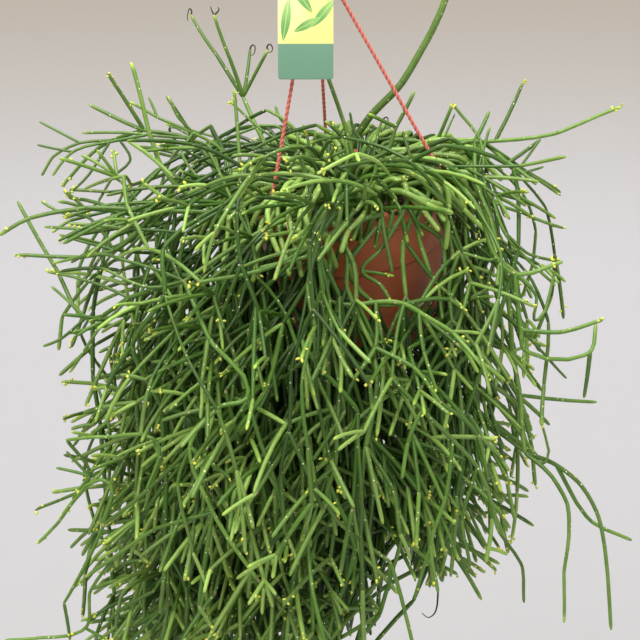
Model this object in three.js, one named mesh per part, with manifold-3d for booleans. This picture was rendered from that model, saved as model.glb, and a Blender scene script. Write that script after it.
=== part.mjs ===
import * as THREE from 'three';
import { mergeVertices } from 'three/addons/utils/BufferGeometryUtils.js';
import Module from 'manifold-3d';

const wasm = await Module();
wasm.setup();

// A hanging pot of rhipsalis. Millimetres and degrees; the origin is where the hook bears on its rail,
// +Z is up and -Y is the side that is mostly seen.

// Pot, in its own frame: the origin is the middle of the rim, its +Z is the pot's axis
const pot = {
  rimCentre: [20.3, 23, -199.8], rimRadius: 70, bandHeight: 12.5, height: 105,
  wallTop: 66.5, wallFoot: 50, wall: 1.8, mouth: 64, seam: 41, seamStep: 0.8, edge: 1,
  sides: 36, drainRadius: 5, drainRing: 30, drains: 4, drainSides: 10,
};
const soil = { depth: 12, crumb: 2.2, gap: 0.3, shoulder: 9 };

// Hook, with the collar that the cords run into
const hook = {
  wire: 2.2, inner: 12, shaftTop: -38, swell: 7, endAngle: 202, joinAngle: -58, turns: 20, sides: 8,
  collarTop: -52, collarBottom: -60, collarRadius: 5.2, collarEdge: 0.8, collarSides: 16,
};
const cord = {
  radius: 1.25, slack: 0.3, topRing: 2.7, topHeight: -56.5, lipRing: 67, sides: 8,
  knotRadius: 3, knotRing: 69.5, knotHeight: -16.1,
  names: { cord_right: 340, cord_left: 220, cord_back: 100 },
};

// Plant label, threaded on the hook's shaft and leaning out over the collar
const label = {
  width: 34, thickness: 0.8, above: 14, straight: 16, below: 92.5, middle: -6.5, holeHeight: -37.3,
  tiltTop: 22, tiltEnd: 5, steps: 7, slotWidth: 10, slotLength: 16,
};

// Reference view: where an eye sees the plant, to set single shoots by what shows
const view = { pixel: 2 / 3, distance: 850, tilt: 17, middle: 320, left: 18, below: 91.4 };

// Stems: radius at the root and at the tip of each rank; a limb leaves its joint slim
const thickness = { main: [2.1, 1.75], limb: [1.2, 1.7] };
const stem = {
  sides: 4, corner: 1.15, limbSides: 3, limbCorner: 1.35, depth: 8, holeSlack: 0.35, rise: [17, 23],
  singleRise: 12, crestRise: 21, crestRing: 76,
};

// Dense foliage: its radius round the plumb line through the rim and how far under the rim it ends, each
// as a mean with a share of the cosine and of the sine of the angle, its top too, and its waist at the right
const foliage = {
  ring: [129, -30, -22], foot: [-265, 42, -20], under: 40, top: [42, -12, -12], waistTop: -170,
  waistSlope: 0.25,
};
// The gap in the foliage that shows the pot, in view pixels and millimetres towards the eye
const clearing = { x: 387, y: 257, wide: 56, high: 46, near: 20, angle: 300, spread: 40 };

// Growth: the seed of its draws, how far stretches keep apart, and how a spray's main shoot steps along
const growth = {
  seed: 11, cell: 30, gap: 0.5, rootGap: 1.5, rootRadius: 3.2, joint: 4, shootRadius: 2.2, turns: 24,
  rootTries: 40, tries: 16, step: [36, 50], crownStep: [24, 34], crestStep: 34, swing: [3, 8], loose: 6,
  crownLoose: 3, crestLoose: 0.4, room: 26, fanRoom: 60, least: 4,
};
// How a spray branches: the share of joints that do, the stretches of a limb, and the habit of its first
// and of the others
const branching = {
  share: 0.8, atTip: 2, from: 3, chain: 4, apart: 40,
  first: { tilt: [26, 46], fall: 0.15, outward: 0.25, reach: [30, 46], radius: 1.8, loose: 26, tries: 8 },
  next: { tilt: [10, 30], fall: 0.2, outward: 0, reach: [24, 40], radius: 1.7, loose: 36, tries: 6 },
};

// Families of sprays: the arc they fill, how far they reach, how high they cross the rim, where they end
const families = [
  {
    kind: 'innerFall', arc: [200, 420], count: 7, reach: [0.5, 0.56], crest: [5, 8], low: [-10, 25],
    root: [46, 56],
  },
  {
    kind: 'crown', arc: [200, 520], count: 4, reach: [0, 0], crest: [16, 26], low: [6, 16],
    root: [8, 26],
  },
  {
    kind: 'midFall', arc: [112, 436], count: 11, reach: [0.66, 0.8], crest: [9, 17], low: [-15, 20],
    root: [36, 54],
  },
  {
    kind: 'outerFall', arc: [100, 445], count: 14, reach: [0.9, 1.04], crest: [15, 30], low: [-25, 25],
    root: [22, 50],
  },
  {
    kind: 'fan', arc: [146, 226], count: 5, reach: [1.05, 1.2], crest: [10, 36], low: [-40, 10],
    root: [14, 44],
  },
];

// Shoots that show singly. Root and crest: angle, radius or height. Each limb: its radii, then its
// points across and down in view pixels and millimetres nearer the eye than the rim's middle.
const singleShoots = {
  tallShoot: {
    root: [150, 14],
    limbs: [
      {
        thick: [3.4, 1.9],
        points: [[342, 163, -4], [369, 118, 0], [401, 84, 6], [422, 49, 12], [438, 18, 18],
          [449, -12, 24]],
      },
    ],
  },
  crownShoots: {
    root: [250, 20],
    limbs: [
      { thick: [2.3, 1.7], points: [[352, 162, 22], [349, 139, 24], [317, 43, 38]] },
      { thick: [2.2, 1.6], points: [[352, 162, 22], [387, 151, 28], [396, 127, 30], [414, 92, 34]] },
      { thick: [1.8, 1.5], points: [[396, 127, 30], [369, 114, 38]] },
    ],
  },
  rightReach: {
    root: [20, 34],
    limbs: [
      {
        thick: [2.4, 1.6],
        points: [[381, 147, -18], [436, 143, -16], [495, 141, -14], [557, 133, -12], [621, 107, -10]],
      },
      { thick: [2, 1.5], points: [[495, 141, -14], [523, 82, -22]] },
      { thick: [1.8, 1.5], points: [[436, 143, -16], [453, 103, -8]] },
    ],
  },
  rightTop: {
    root: [345, 44],
    limbs: [
      { thick: [2.3, 1.7], points: [[418, 170, 20], [475, 141, 24], [508, 163, 30], [536, 184, 36]] },
      { thick: [2, 1.6], points: [[475, 141, 24], [489, 112, 16]] },
      { thick: [2, 1.6], points: [[475, 141, 24], [477, 184, 44], [490, 217, 52], [499, 252, 56]] },
      { thick: [1.8, 1.5], points: [[508, 163, 30], [540, 140, 20]] },
      { thick: [1.8, 1.5], points: [[508, 163, 30], [560, 192, 14]] },
    ],
  },
  leftTop: {
    root: [150, 40],
    limbs: [
      { thick: [2.4, 1.9], points: [[273, 157, -20], [243, 97, -26]] },
      { thick: [2, 1.4], points: [[243, 97, -26], [216, 54, -30], [191, 15, -34]] },
      { thick: [2, 1.4], points: [[243, 97, -26], [228, 54, -16], [214, 15, -8]] },
      { thick: [1.8, 1.4], points: [[243, 97, -26], [250, 50, -40]] },
      { thick: [1.8, 1.4], points: [[243, 97, -26], [268, 50, -16]] },
    ],
  },
  leftArch: {
    root: [188, 40], crest: [185, 9],
    limbs: [
      { thick: [2.4, 1.7], points: [[196, 143, 4], [144, 130, 2], [90, 105, 0]] },
      { thick: [2, 1.6], points: [[144, 130, 2], [108, 74, 10]] },
      { thick: [1.8, 1.5], points: [[196, 143, 4], [167, 97, 14]] },
      { thick: [1.8, 1.5], points: [[144, 130, 2], [96, 150, -12], [62, 186, -16]] },
    ],
  },
  leftShoot: {
    root: [210, 44], crest: [204, 9],
    limbs: [
      { thick: [2.5, 1.8], points: [[206, 204, 38], [162, 167, 40], [131, 63, 44]] },
      { thick: [2, 1.6], points: [[162, 167, 40], [106, 229, 52]] },
    ],
  },
  leftReach: {
    root: [230, 46], crest: [229, 9],
    limbs: [
      {
        thick: [2.5, 1.6],
        points: [[239, 212, 52], [158, 210, 62], [86, 208, 64], [31, 218, 66], [0, 235, 66]],
      },
      { thick: [2, 1.5], points: [[158, 210, 62], [114, 250, 66], [16, 255, 64]] },
    ],
  },
  leftMid: {
    root: [246, 50], crest: [243, 8],
    limbs: [
      { thick: [2.4, 1.7], points: [[251, 237, 82], [184, 281, 92]] },
      { thick: [2, 1.6], points: [[251, 237, 82], [259, 276, 90]] },
      {
        thick: [2, 1.6],
        points: [[184, 281, 92], [129, 298, 80], [86, 318, 66], [55, 267, 54], [18, 202, 48]],
      },
    ],
  },
  potLeft: {
    root: [262, 44], crest: [261, 7],
    limbs: [
      { thick: [2.6, 2], points: [[340, 237, 82], [353, 262, 90], [356, 300, 96]] },
      { thick: [2, 1.7], points: [[340, 237, 82], [308, 256, 88], [260, 268, 98]] },
    ],
  },
  potMiddle: {
    root: [284, 42], crest: [281, 7],
    limbs: [
      {
        thick: [2.7, 2],
        points: [[364, 240, 64], [349, 262, 66], [375, 303, 70], [404, 304, 74], [446, 332, 80]],
      },
      { thick: [2, 1.6], points: [[375, 303, 70], [352, 309, 80], [376, 345, 88]] },
    ],
  },
  potRight: {
    root: [306, 46], crest: [305, 7],
    limbs: [
      { thick: [2.6, 1.9], points: [[404, 240, 62], [406, 297, 66]] },
      { thick: [2, 1.6], points: [[404, 240, 62], [439, 286, 64]] },
    ],
  },
  rightMid: {
    root: [330, 50], crest: [328, 8],
    limbs: [
      { thick: [2.4, 1.8], points: [[481, 214, 58], [497, 258, 66], [515, 274, 66], [562, 262, 62]] },
      {
        thick: [2, 1.6],
        points: [[515, 274, 66], [521, 330, 66], [524, 349, 64], [590, 352, 56], [596, 325, 52]],
      },
      { thick: [2, 1.5], points: [[590, 352, 56], [584, 397, 54]] },
      { thick: [2, 1.6], points: [[521, 330, 66], [561, 332, 70], [602, 320, 70]] },
    ],
  },
  rightDroop: {
    root: [350, 50], crest: [348, 9],
    limbs: [
      {
        thick: [2.6, 1.9],
        points: [[489, 226, 18], [506, 290, 18], [512, 350, 20], [520, 395, 22],
          [522, 430, 24], [525, 453, 24]],
      },
      {
        thick: [2, 1.6],
        points: [[525, 453, 24], [556, 465, 26], [579, 483, 28], [597, 513, 28],
          [604, 543, 28], [611, 629, 28]],
      },
      {
        thick: [1.9, 1.4],
        points: [[525, 453, 24], [553, 478, 34], [567, 503, 38], [569, 533, 40],
          [564, 573, 40], [564, 622, 40]],
      },
      { thick: [1.9, 1.5], points: [[556, 465, 26], [591, 521, 14], [631, 540, 12]] },
      { thick: [1.8, 1.5], points: [[520, 395, 22], [596, 402, 14]] },
    ],
  },
};

const rad = Math.PI / 180;
const plus = (a, b, k = 1) => [a[0] + b[0] * k, a[1] + b[1] * k, a[2] + b[2] * k];
const minus = (a, b) => [a[0] - b[0], a[1] - b[1], a[2] - b[2]];
const times = (a, k) => [a[0] * k, a[1] * k, a[2] * k];
const dot = (a, b) => a[0] * b[0] + a[1] * b[1] + a[2] * b[2];
const size = (a) => Math.sqrt(dot(a, a));
const unit = (a) => times(a, 1 / size(a));
const cross = (a, b) => [
  a[1] * b[2] - a[2] * b[1], a[2] * b[0] - a[0] * b[2], a[0] * b[1] - a[1] * b[0],
];

// View and pot frames
const viewTilt = view.tilt * rad;
const viewUp = [0, Math.sin(viewTilt), Math.cos(viewTilt)];
const viewNear = [0, -Math.cos(viewTilt), Math.sin(viewTilt)];
const viewCentre = plus(plus(pot.rimCentre, [1, 0, 0], -view.left), viewUp, -view.below);
const collar = [0, 0, (hook.collarTop + hook.collarBottom) / 2];
const potUp = unit(minus(collar, pot.rimCentre));
const potRight = unit(cross([0, 1, 0], potUp));
const potBack = cross(potUp, potRight);
const potFrame = new THREE.Matrix4().makeBasis(
  new THREE.Vector3(...potRight), new THREE.Vector3(...potBack), new THREE.Vector3(...potUp),
).setPosition(...pot.rimCentre);
const intoPot = potFrame.clone().invert();

function seen([px, py, near]) {
  const k = 1 - near / view.distance;
  const flat = times([1, 0, 0], (px - view.middle) * view.pixel * k);
  return plus(plus(viewCentre, plus(flat, viewUp, (view.middle - py) * view.pixel * k)), viewNear, near);
}

function project(p) {
  const d = minus(p, viewCentre);
  const near = dot(d, viewNear);
  const k = view.distance / (view.distance - near) / view.pixel;
  return [view.middle + d[0] * k, view.middle - dot(d, viewUp) * k, near];
}

function onPot(radius, angle, height) {
  const [across, back] = [radius * Math.cos(angle * rad), radius * Math.sin(angle * rad)];
  return plus(plus(pot.rimCentre, plus(times(potRight, across), potBack, back)), potUp, height);
}

// The pot's outside radius at a height below its rim
function wallAt(height) {
  const share = (-height - pot.bandHeight) / (pot.height - pot.bandHeight);
  return share < 0 ? pot.rimRadius : pot.wallTop + (pot.wallFoot - pot.wallTop) * share;
}

// Solids: closed geometry to and from exact booleans
function toSolid(geometry) {
  geometry.deleteAttribute('normal');
  geometry.deleteAttribute('uv');
  const merged = mergeVertices(geometry, 1e-4);
  return new wasm.Manifold(new wasm.Mesh({
    numProp: 3,
    vertProperties: new Float32Array(merged.attributes.position.array),
    triVerts: new Uint32Array(merged.index.array),
  }));
}

function toGeometry(solid) {
  const mesh = solid.getMesh();
  const geometry = new THREE.BufferGeometry();
  geometry.setAttribute('position', new THREE.BufferAttribute(mesh.vertProperties, 3));
  geometry.setIndex(new THREE.BufferAttribute(mesh.triVerts, 1));
  geometry.computeVertexNormals();
  return geometry;
}

// A line of straight stretches, read by stretch and not by length
class Route extends THREE.Curve {
  constructor(points) {
    super();
    this.points = points;
  }

  getPoint(t, target = new THREE.Vector3()) {
    const last = this.points.length - 1;
    const at = Math.min(Math.floor(t * last), last - 1);
    const p = plus(this.points[at], minus(this.points[at + 1], this.points[at]), t * last - at);
    return target.set(...p);
  }

  getUtoTmapping(u) {
    return u;
  }
}

// A rod along a route, with flat ends; its radius runs from the first value to the second
function rod(points, radii, sides) {
  const outline = new THREE.Shape();
  for (let k = 0; k < sides; k += 1) {
    const turn = (2 * Math.PI * k) / sides;
    if (k === 0) outline.moveTo(radii[0], 0);
    else outline.lineTo(radii[0] * Math.cos(turn), radii[0] * Math.sin(turn));
  }
  const route = new Route(points);
  const geometry = new THREE.ExtrudeGeometry(outline, {
    steps: points.length - 1, extrudePath: route, bevelEnabled: false,
  });
  if (radii[1] !== radii[0]) taper(geometry, points, radii[1] / radii[0]);
  return geometry;
}

function taper(geometry, points, share) {
  const { array } = geometry.attributes.position;
  for (let i = 0; i < array.length; i += 3) {
    const p = [array[i], array[i + 1], array[i + 2]];
    let nearest = 0;
    points.forEach((q, k) => {
      if (size(minus(p, q)) < size(minus(p, points[nearest]))) nearest = k;
    });
    const k = 1 + ((share - 1) * nearest) / (points.length - 1);
    plus(points[nearest], minus(p, points[nearest]), k).forEach((value, j) => {
      array[i + j] = value;
    });
  }
}

function turnedProfile(profile, sides) {
  const points = profile.map(([x, y]) => new THREE.Vector2(x, y));
  return new THREE.LatheGeometry(points, sides).rotateX(Math.PI / 2);
}

// Pieces
function makePot() {
  const seamOut = wallAt(-pot.seam);
  const floor = pot.wall - pot.height;
  let solid = toSolid(turnedProfile([
    [0, -pot.height], [pot.wallFoot - pot.edge, -pot.height], [pot.wallFoot, pot.edge - pot.height],
    [seamOut - pot.seamStep, -pot.seam], [seamOut, -pot.seam], [pot.wallTop, -pot.bandHeight],
    [pot.rimRadius, -pot.bandHeight], [pot.rimRadius, -pot.edge], [pot.rimRadius - pot.edge, 0],
    [pot.mouth, 0], [pot.mouth, -pot.bandHeight], [pot.wallFoot - pot.wall, floor], [0, floor],
  ], pot.sides));
  for (let k = 0; k < pot.drains; k += 1) {
    const turn = (k + 0.5) * (360 / pot.drains) * rad;
    const [x, y] = [pot.drainRing * Math.cos(turn), pot.drainRing * Math.sin(turn)];
    const ends = [[x, y, -pot.height - 1], [x, y, floor + pot.wall]];
    solid = solid.subtract(toSolid(rod(ends, [pot.drainRadius, pot.drainRadius], pot.drainSides)));
  }
  for (const angle of Object.values(cord.names)) {
    const [low, high] = [onPot(cord.lipRing, angle, -pot.bandHeight - 1), onPot(cord.lipRing, angle, 1)];
    const radius = cord.radius + cord.slack;
    solid = solid.subtract(toSolid(rod([low, high], [radius, radius], cord.sides).applyMatrix4(intoPot)));
  }
  return solid;
}

function makeSoil(roots) {
  const inner = pot.mouth - soil.gap;
  const base = pot.wallFoot - pot.wall - soil.gap;
  const low = pot.wall + soil.gap - pot.height;
  let solid = toSolid(turnedProfile([
    [0, low], [base, low], [inner - 0.1, -pot.bandHeight - 0.5], [inner, -soil.depth - 0.2],
    [inner - soil.shoulder, soil.crumb * 0.4 - soil.depth], [inner * 0.45, soil.crumb - soil.depth],
    [0, soil.crumb * 0.7 - soil.depth],
  ], pot.sides));
  for (const { foot, radius } of roots) {
    const under = plus(foot, potUp, -stem.holeSlack);
    const over = plus(under, potUp, stem.depth + soil.crumb + 3);
    const hole = rod([under, over], [radius, radius], stem.sides);
    solid = solid.subtract(toSolid(hole.applyMatrix4(intoPot)));
  }
  return solid;
}

function makeHook() {
  const round = hook.inner + hook.wire;
  const onBend = (angle) => [
    round * Math.cos(angle * rad), 0, round * Math.sin(angle * rad) - hook.inner,
  ];
  const path = [[0, 0, hook.collarBottom + 1], [0, 0, hook.shaftTop]];
  const [start, end, bend] = [path[1], onBend(hook.joinAngle), [0, 0, hook.shaftTop + hook.swell]];
  for (const t of [0.25, 0.5, 0.75]) {
    const [p, q] = [plus(start, minus(bend, start), t), plus(bend, minus(end, bend), t)];
    path.push(plus(p, minus(q, p), t));
  }
  for (let k = 0; k <= hook.turns; k += 1) {
    path.push(onBend(hook.joinAngle + ((hook.endAngle - hook.joinAngle) * k) / hook.turns));
  }
  const edge = hook.collarEdge;
  let solid = toSolid(rod(path, [hook.wire, hook.wire], hook.sides));
  solid = solid.add(toSolid(turnedProfile([
    [0, hook.collarBottom], [hook.collarRadius - edge, hook.collarBottom],
    [hook.collarRadius, hook.collarBottom + edge], [hook.collarRadius, hook.collarTop - edge],
    [hook.collarRadius - edge, hook.collarTop], [0, hook.collarTop],
  ], hook.collarSides)));
  for (const angle of Object.values(cord.names)) {
    const [top, low] = cordEnds(angle);
    const way = [plus(top, unit(minus(top, low)), cord.slack), plus(top, minus(low, top), 0.1)];
    const radius = cord.radius + cord.slack;
    solid = solid.subtract(toSolid(rod(way, [radius, radius], cord.sides)));
  }
  return solid;
}

// Where a cord leaves the collar and where it meets the rim
function cordEnds(angle) {
  const out = minus(onPot(cord.topRing, angle, 0), pot.rimCentre);
  return [plus([0, 0, cord.topHeight], out), onPot(cord.lipRing, angle, 2)];
}

// A cord goes straight to the rim, down through its hole, and is knotted under the lip
function makeCord(angle) {
  const [top, low] = cordEnds(angle);
  const knot = onPot(cord.knotRing, angle, cord.knotHeight);
  const path = [top, low, onPot(cord.lipRing, angle, -pot.bandHeight - cord.slack), knot];
  const solid = toSolid(rod(path, [cord.radius, cord.radius], cord.sides));
  const ball = new THREE.SphereGeometry(cord.knotRadius, 10, 7).translate(...knot);
  return solid.add(toSolid(ball));
}

function makeLabel() {
  let tilt = label.tiltTop * rad;
  let [y, z] = [Math.sin(tilt) * label.above, Math.cos(tilt) * label.above];
  const middle = [[y, z]];
  const bent = label.below - label.straight;
  const stretches = [label.above + label.straight, ...Array(label.steps).fill(bent / label.steps)];
  stretches.forEach((length, k) => {
    tilt = (label.tiltTop + ((label.tiltEnd - label.tiltTop) * k) / label.steps) * rad;
    [y, z] = [y - Math.sin(tilt) * length, z - Math.cos(tilt) * length];
    middle.push([y, z]);
  });
  const half = label.thickness / 2;
  const front = middle.map(([a, b]) => new THREE.Vector2(a - half, b));
  const back = middle.reverse().map(([a, b]) => new THREE.Vector2(a + half, b));
  const shape = new THREE.Shape([...front, ...back]);
  const sheet = new THREE.ExtrudeGeometry(shape, { depth: label.width, bevelEnabled: false });
  // The profile's axes become Y and Z, and the width runs along X
  sheet.applyMatrix4(new THREE.Matrix4().makeBasis(
    new THREE.Vector3(0, 1, 0), new THREE.Vector3(0, 0, 1), new THREE.Vector3(1, 0, 0),
  ).setPosition(label.middle - label.width / 2, 0, label.holeHeight));
  const slot = new THREE.Shape();
  const [wide, long] = [label.slotWidth / 2, (label.slotLength - label.slotWidth) / 2];
  slot.absarc(0, long, wide, 0, Math.PI, false);
  slot.absarc(0, -long, wide, Math.PI, 2 * Math.PI, false);
  const cutter = new THREE.ExtrudeGeometry(slot, { depth: 10, bevelEnabled: false, curveSegments: 6 });
  cutter.translate(0, 0, -5).rotateX(Math.PI / 2 - label.tiltTop * rad);
  return toSolid(sheet).subtract(toSolid(cutter.translate(0, 0, label.holeHeight)));
}

// Growth
function makeDice(seed) {
  let state = seed;
  return ([low, high]) => {
    state = (state * 1664525 + 1013904223) % 4294967296;
    return low + ((high - low) * state) / 4294967296;
  };
}

// The distance between two straight stretches
function axisGap(a, b, c, d) {
  const [u, v, w] = [minus(b, a), minus(d, c), minus(a, c)];
  const [uu, vv, uv, uw, vw] = [dot(u, u), dot(v, v), dot(u, v), dot(u, w), dot(v, w)];
  const clamp = (value) => Math.min(1, Math.max(0, value));
  const spread = uu * vv - uv * uv;
  let s = spread > 1e-6 ? clamp((uv * vw - uw * vv) / spread) : 0;
  let t = (uv * s + vw) / vv;
  if (t < 0) [s, t] = [clamp(-uw / uu), 0];
  else if (t > 1) [s, t] = [clamp((uv - uw) / uu), 1];
  return size(minus(plus(a, u, s), plus(c, v, t)));
}

// Stretches laid so far, sorted into cells
const cells = new Map();

function cellsAround(a, b, pad) {
  const low = a.map((value, i) => Math.floor((Math.min(value, b[i]) - pad) / growth.cell));
  const high = a.map((value, i) => Math.floor((Math.max(value, b[i]) + pad) / growth.cell));
  const found = [];
  for (let x = low[0]; x <= high[0]; x += 1) {
    for (let y = low[1]; y <= high[1]; y += 1) {
      for (let z = low[2]; z <= high[2]; z += 1) found.push(`${x} ${y} ${z}`);
    }
  }
  return found;
}

function occupy(a, b, radius, owner) {
  for (const cell of cellsAround(a, b, 0)) {
    if (!cells.has(cell)) cells.set(cell, []);
    cells.get(cell).push({ a, b, radius, owner });
  }
}

// Whether a stretch keeps its distance to the others, but for its own spray's at the joint that it leaves
function isFree(a, b, radius, owner, gap) {
  const atJoint = (other) => (
    size(minus(other.a, a)) < growth.joint || size(minus(other.b, a)) < growth.joint
  );
  return !cellsAround(a, b, 8).some((cell) => (cells.get(cell) ?? []).some((other) => (
    !(other.owner === owner && atJoint(other))
    && axisGap(a, b, other.a, other.b) < (radius + other.radius) * stem.corner + gap
  )));
}

function isClearOfPot(a, b, radius) {
  const steps = Math.max(2, Math.floor(size(minus(b, a)) / 3));
  const reach = radius * stem.corner + 0.6;
  for (let i = 0; i <= steps; i += 1) {
    const p = minus(plus(a, minus(b, a), i / steps), pot.rimCentre);
    const [height, across, back] = [dot(p, potUp), dot(p, potRight), dot(p, potBack)];
    const ring = Math.sqrt(across * across + back * back);
    const beside = height <= reach && height >= -pot.height - reach;
    const inMouth = height > -soil.depth - 9 && ring < pot.mouth - reach;
    const wall = height > -pot.bandHeight - reach ? pot.rimRadius : wallAt(height);
    if (beside && !inMouth && ring < wall + reach) return false;
  }
  return true;
}

function isClearOfView(a, b) {
  for (let i = 0; i < 5; i += 1) {
    const [x, y, near] = project(plus(a, minus(b, a), i / 4));
    const [across, down] = [(x - clearing.x) / clearing.wide, (y - clearing.y) / clearing.high];
    if (near > clearing.near && across * across + down * down < 1) return false;
  }
  return true;
}

// The foliage's radius and its foot at an angle
const roundOff = ([mean, c, s], angle) => mean + c * Math.cos(angle * rad) + s * Math.sin(angle * rad);
const shellAt = (angle) => roundOff(foliage.ring, angle);
const footAt = (angle) => roundOff(foliage.foot, angle);

// A place round that line, which follows the rim's lean near the pot
function place(ring, height, angle) {
  const [c, s] = [Math.cos(angle * rad), Math.sin(angle * rad)];
  const lean = -(potUp[0] * c + potUp[1] * s) / potUp[2];
  const lift = lean * Math.min(ring, 78) * Math.max(0, 1 + Math.min(height, 0) / 110);
  return plus(pot.rimCentre, [ring * c, ring * s, height + lift]);
}

function isInside(p, loose) {
  const [x, y, height] = minus(p, pot.rimCentre);
  const angle = Math.atan2(y, x) / rad;
  const { waistTop, waistSlope, under } = foliage;
  const waist = x > 0 && height < waistTop ? (waistTop - height) * waistSlope : 0;
  const ring = Math.sqrt(x * x + y * y);
  const top = roundOff(foliage.top, angle);
  return height < top && height > footAt(angle) - under && ring < shellAt(angle) + loose - waist;
}

function fits(a, b, radius, owner, loose) {
  return isInside(b, loose) && isClearOfView(a, b) && isClearOfPot(a, b, radius)
    && isFree(a, b, radius, owner, growth.gap);
}

// A direction tipped off an axis and spun round it
function turned(axis, tilt, spin) {
  const side = unit(cross(axis, Math.abs(axis[2]) < 0.8 ? [0.31, 0.17, 0.93] : [0.95, 0.2, 0.1]));
  const flat = times(side, Math.sin(tilt * rad) * Math.cos(spin * rad));
  const all = plus(flat, cross(axis, side), Math.sin(tilt * rad) * Math.sin(spin * rad));
  return plus(times(axis, Math.cos(tilt * rad)), all);
}

const limbs = [];

function layLimb(owner, thick, points, sides = stem.sides) {
  const widest = Math.max(...thick);
  for (let i = 1; i < points.length; i += 1) occupy(points[i - 1], points[i], widest, owner);
  limbs.push({ owner, thick, points, sides });
}

function laySingle(name, { root, crest, limbs: parts }) {
  const foot = onPot(root[1], root[0], -soil.depth - stem.depth);
  const start = [foot, plus(foot, potUp, crest ? stem.crestRise : stem.singleRise)];
  if (crest) start.push(onPot(stem.crestRing, crest[0], crest[1]));
  parts.forEach(({ thick, points }, k) => {
    const way = points.map(seen);
    layLimb(name, thick, k === 0 ? [...start, ...way] : way);
  });
}

// The way of a spray: radius, height over the rim and angle
function makeGuide(family, angle, rootRing, draw) {
  const least = 81 + 6 * Math.cos((angle - 49) * rad);
  const reach = Math.max(shellAt(angle) * draw(family.reach), least);
  const [crest, low] = [draw(family.crest), draw(family.low)];
  if (family.kind === 'crown') {
    return [[rootRing, 2, angle], [rootRing + 16, crest, angle], [rootRing + 44, crest + 4, angle],
      [rootRing + 74, low, angle]];
  }
  const off = ((angle + 540 - clearing.angle) % 360) - 180;
  const aside = Math.max(0, clearing.spread - Math.abs(off)) * (off > 0 ? 1 : -1);
  const over = reach < 90 ? 76 : Math.min(78, reach * 0.66);
  const guide = [[rootRing, 4, angle], [over, crest, angle + aside * 0.5]];
  if (family.kind === 'fan') return [...guide, [reach, low, angle]];
  guide.push([reach > 90 ? reach * 0.93 : reach, crest - 12, angle + aside * 0.8]);
  guide.push([reach, crest - 38, angle + aside], [reach + 2, -60, angle + aside * 0.5]);
  const end = footAt(angle) + low;
  if (family.kind === 'innerFall') return [...guide, [reach - 2, -90, angle], [56, end, angle]];
  const last = reach * (0.94 - 0.06 * Math.cos(angle * rad));
  return [...guide, [reach + 4, -90, angle], [reach + 2, -160, angle], [last, end, angle]];
}

function along(guide, length) {
  let left = length;
  for (let i = 1; i < guide.length; i += 1) {
    const [a, b] = [guide[i - 1], guide[i]];
    const span = stretchOf(a, b);
    if (left <= span) return a.map((value, k) => value + ((b[k] - value) * left) / span);
    left -= span;
  }
  return null;
}

function stretchOf(a, b) {
  return Math.sqrt((b[0] - a[0]) * (b[0] - a[0]) + (b[1] - a[1]) * (b[1] - a[1]));
}

// A free place in the soil for a spray: its ring, and the stretch that rises from it
function findRoot(name, family, angle, draw) {
  for (let attempt = 0; attempt < growth.rootTries; attempt += 1) {
    const ring = draw(family.root);
    const foot = onPot(ring, angle + draw([-12, 12]), -soil.depth - stem.depth);
    const up = plus(foot, potUp, draw(stem.rise));
    if (isFree(foot, up, growth.rootRadius, name, growth.rootGap)) return { ring, points: [foot, up] };
  }
  return null;
}

// The next point of a spray's main shoot and its step along the guide, or null where nothing fits
function nextPoint(name, family, guide, points, length, swing, draw) {
  const crown = family.kind === 'crown';
  const n = points.length - 2;
  let step = draw(crown ? growth.crownStep : growth.step);
  if (n === 0 && !crown) step = stretchOf(guide[0], guide[1]) - 0.01;
  if (n === 1 && guide[2][0] < 100) step = Math.min(step, growth.crestStep);
  const goal = along(guide, length + step);
  for (let attempt = 0; goal && attempt < growth.tries; attempt += 1) {
    const share = (1 + attempt / 6) * (n < 2 && !crown ? growth.crestLoose : 1);
    const loose = (crown ? growth.crownLoose : growth.loose) * share;
    const target = place(goal[0] + draw([-loose, loose]), goal[1] + draw([-loose, loose]), goal[2]);
    const aside = swing * (n % 2 ? 1 : -1) + draw([-loose, loose]);
    const next = plus(target, [-Math.sin(goal[2] * rad), Math.cos(goal[2] * rad), 0], aside);
    const room = family.kind === 'fan' ? growth.fanRoom : growth.room;
    if (fits(points.at(-1), next, growth.shootRadius, name, room)) return { next, step };
  }
  return null;
}

function growSpray(name, family, angle, draw) {
  const root = findRoot(name, family, angle, draw);
  if (!root) return false;
  const { ring, points } = root;
  const guide = makeGuide(family, angle, ring, draw);
  const swing = draw(growth.swing) * (draw([0, 1]) < 0.5 ? -1 : 1);
  let length = 0;
  let found = nextPoint(name, family, guide, points, length, swing, draw);
  while (found) {
    points.push(found.next);
    length += found.step;
    found = nextPoint(name, family, guide, points, length, swing, draw);
  }
  if (points.length < growth.least) return false;
  layLimb(name, thickness.main, points);
  branch(name, points, draw);
  return true;
}

// One stretch off an axis that fits, or null; a given spin sets the side that it leaves on
function shoot(name, start, axis, habit, draw, spin = null) {
  const [x, y] = minus(start, pot.rimCentre);
  const out = times(unit([x, y, 0]), habit.outward);
  for (let attempt = 0; attempt < habit.tries; attempt += 1) {
    const tilt = draw(habit.tilt);
    const { apart } = branching;
    const tipped = turned(axis, tilt, spin === null ? draw([0, 360]) : spin + draw([-apart, apart]));
    const way = unit(plus(plus(tipped, [0, 0, -1], habit.fall), out));
    const end = plus(start, way, draw(habit.reach));
    if (fits(plus(start, way, 3), end, habit.radius, name, habit.loose)) return { end, way };
  }
  return null;
}

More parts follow.
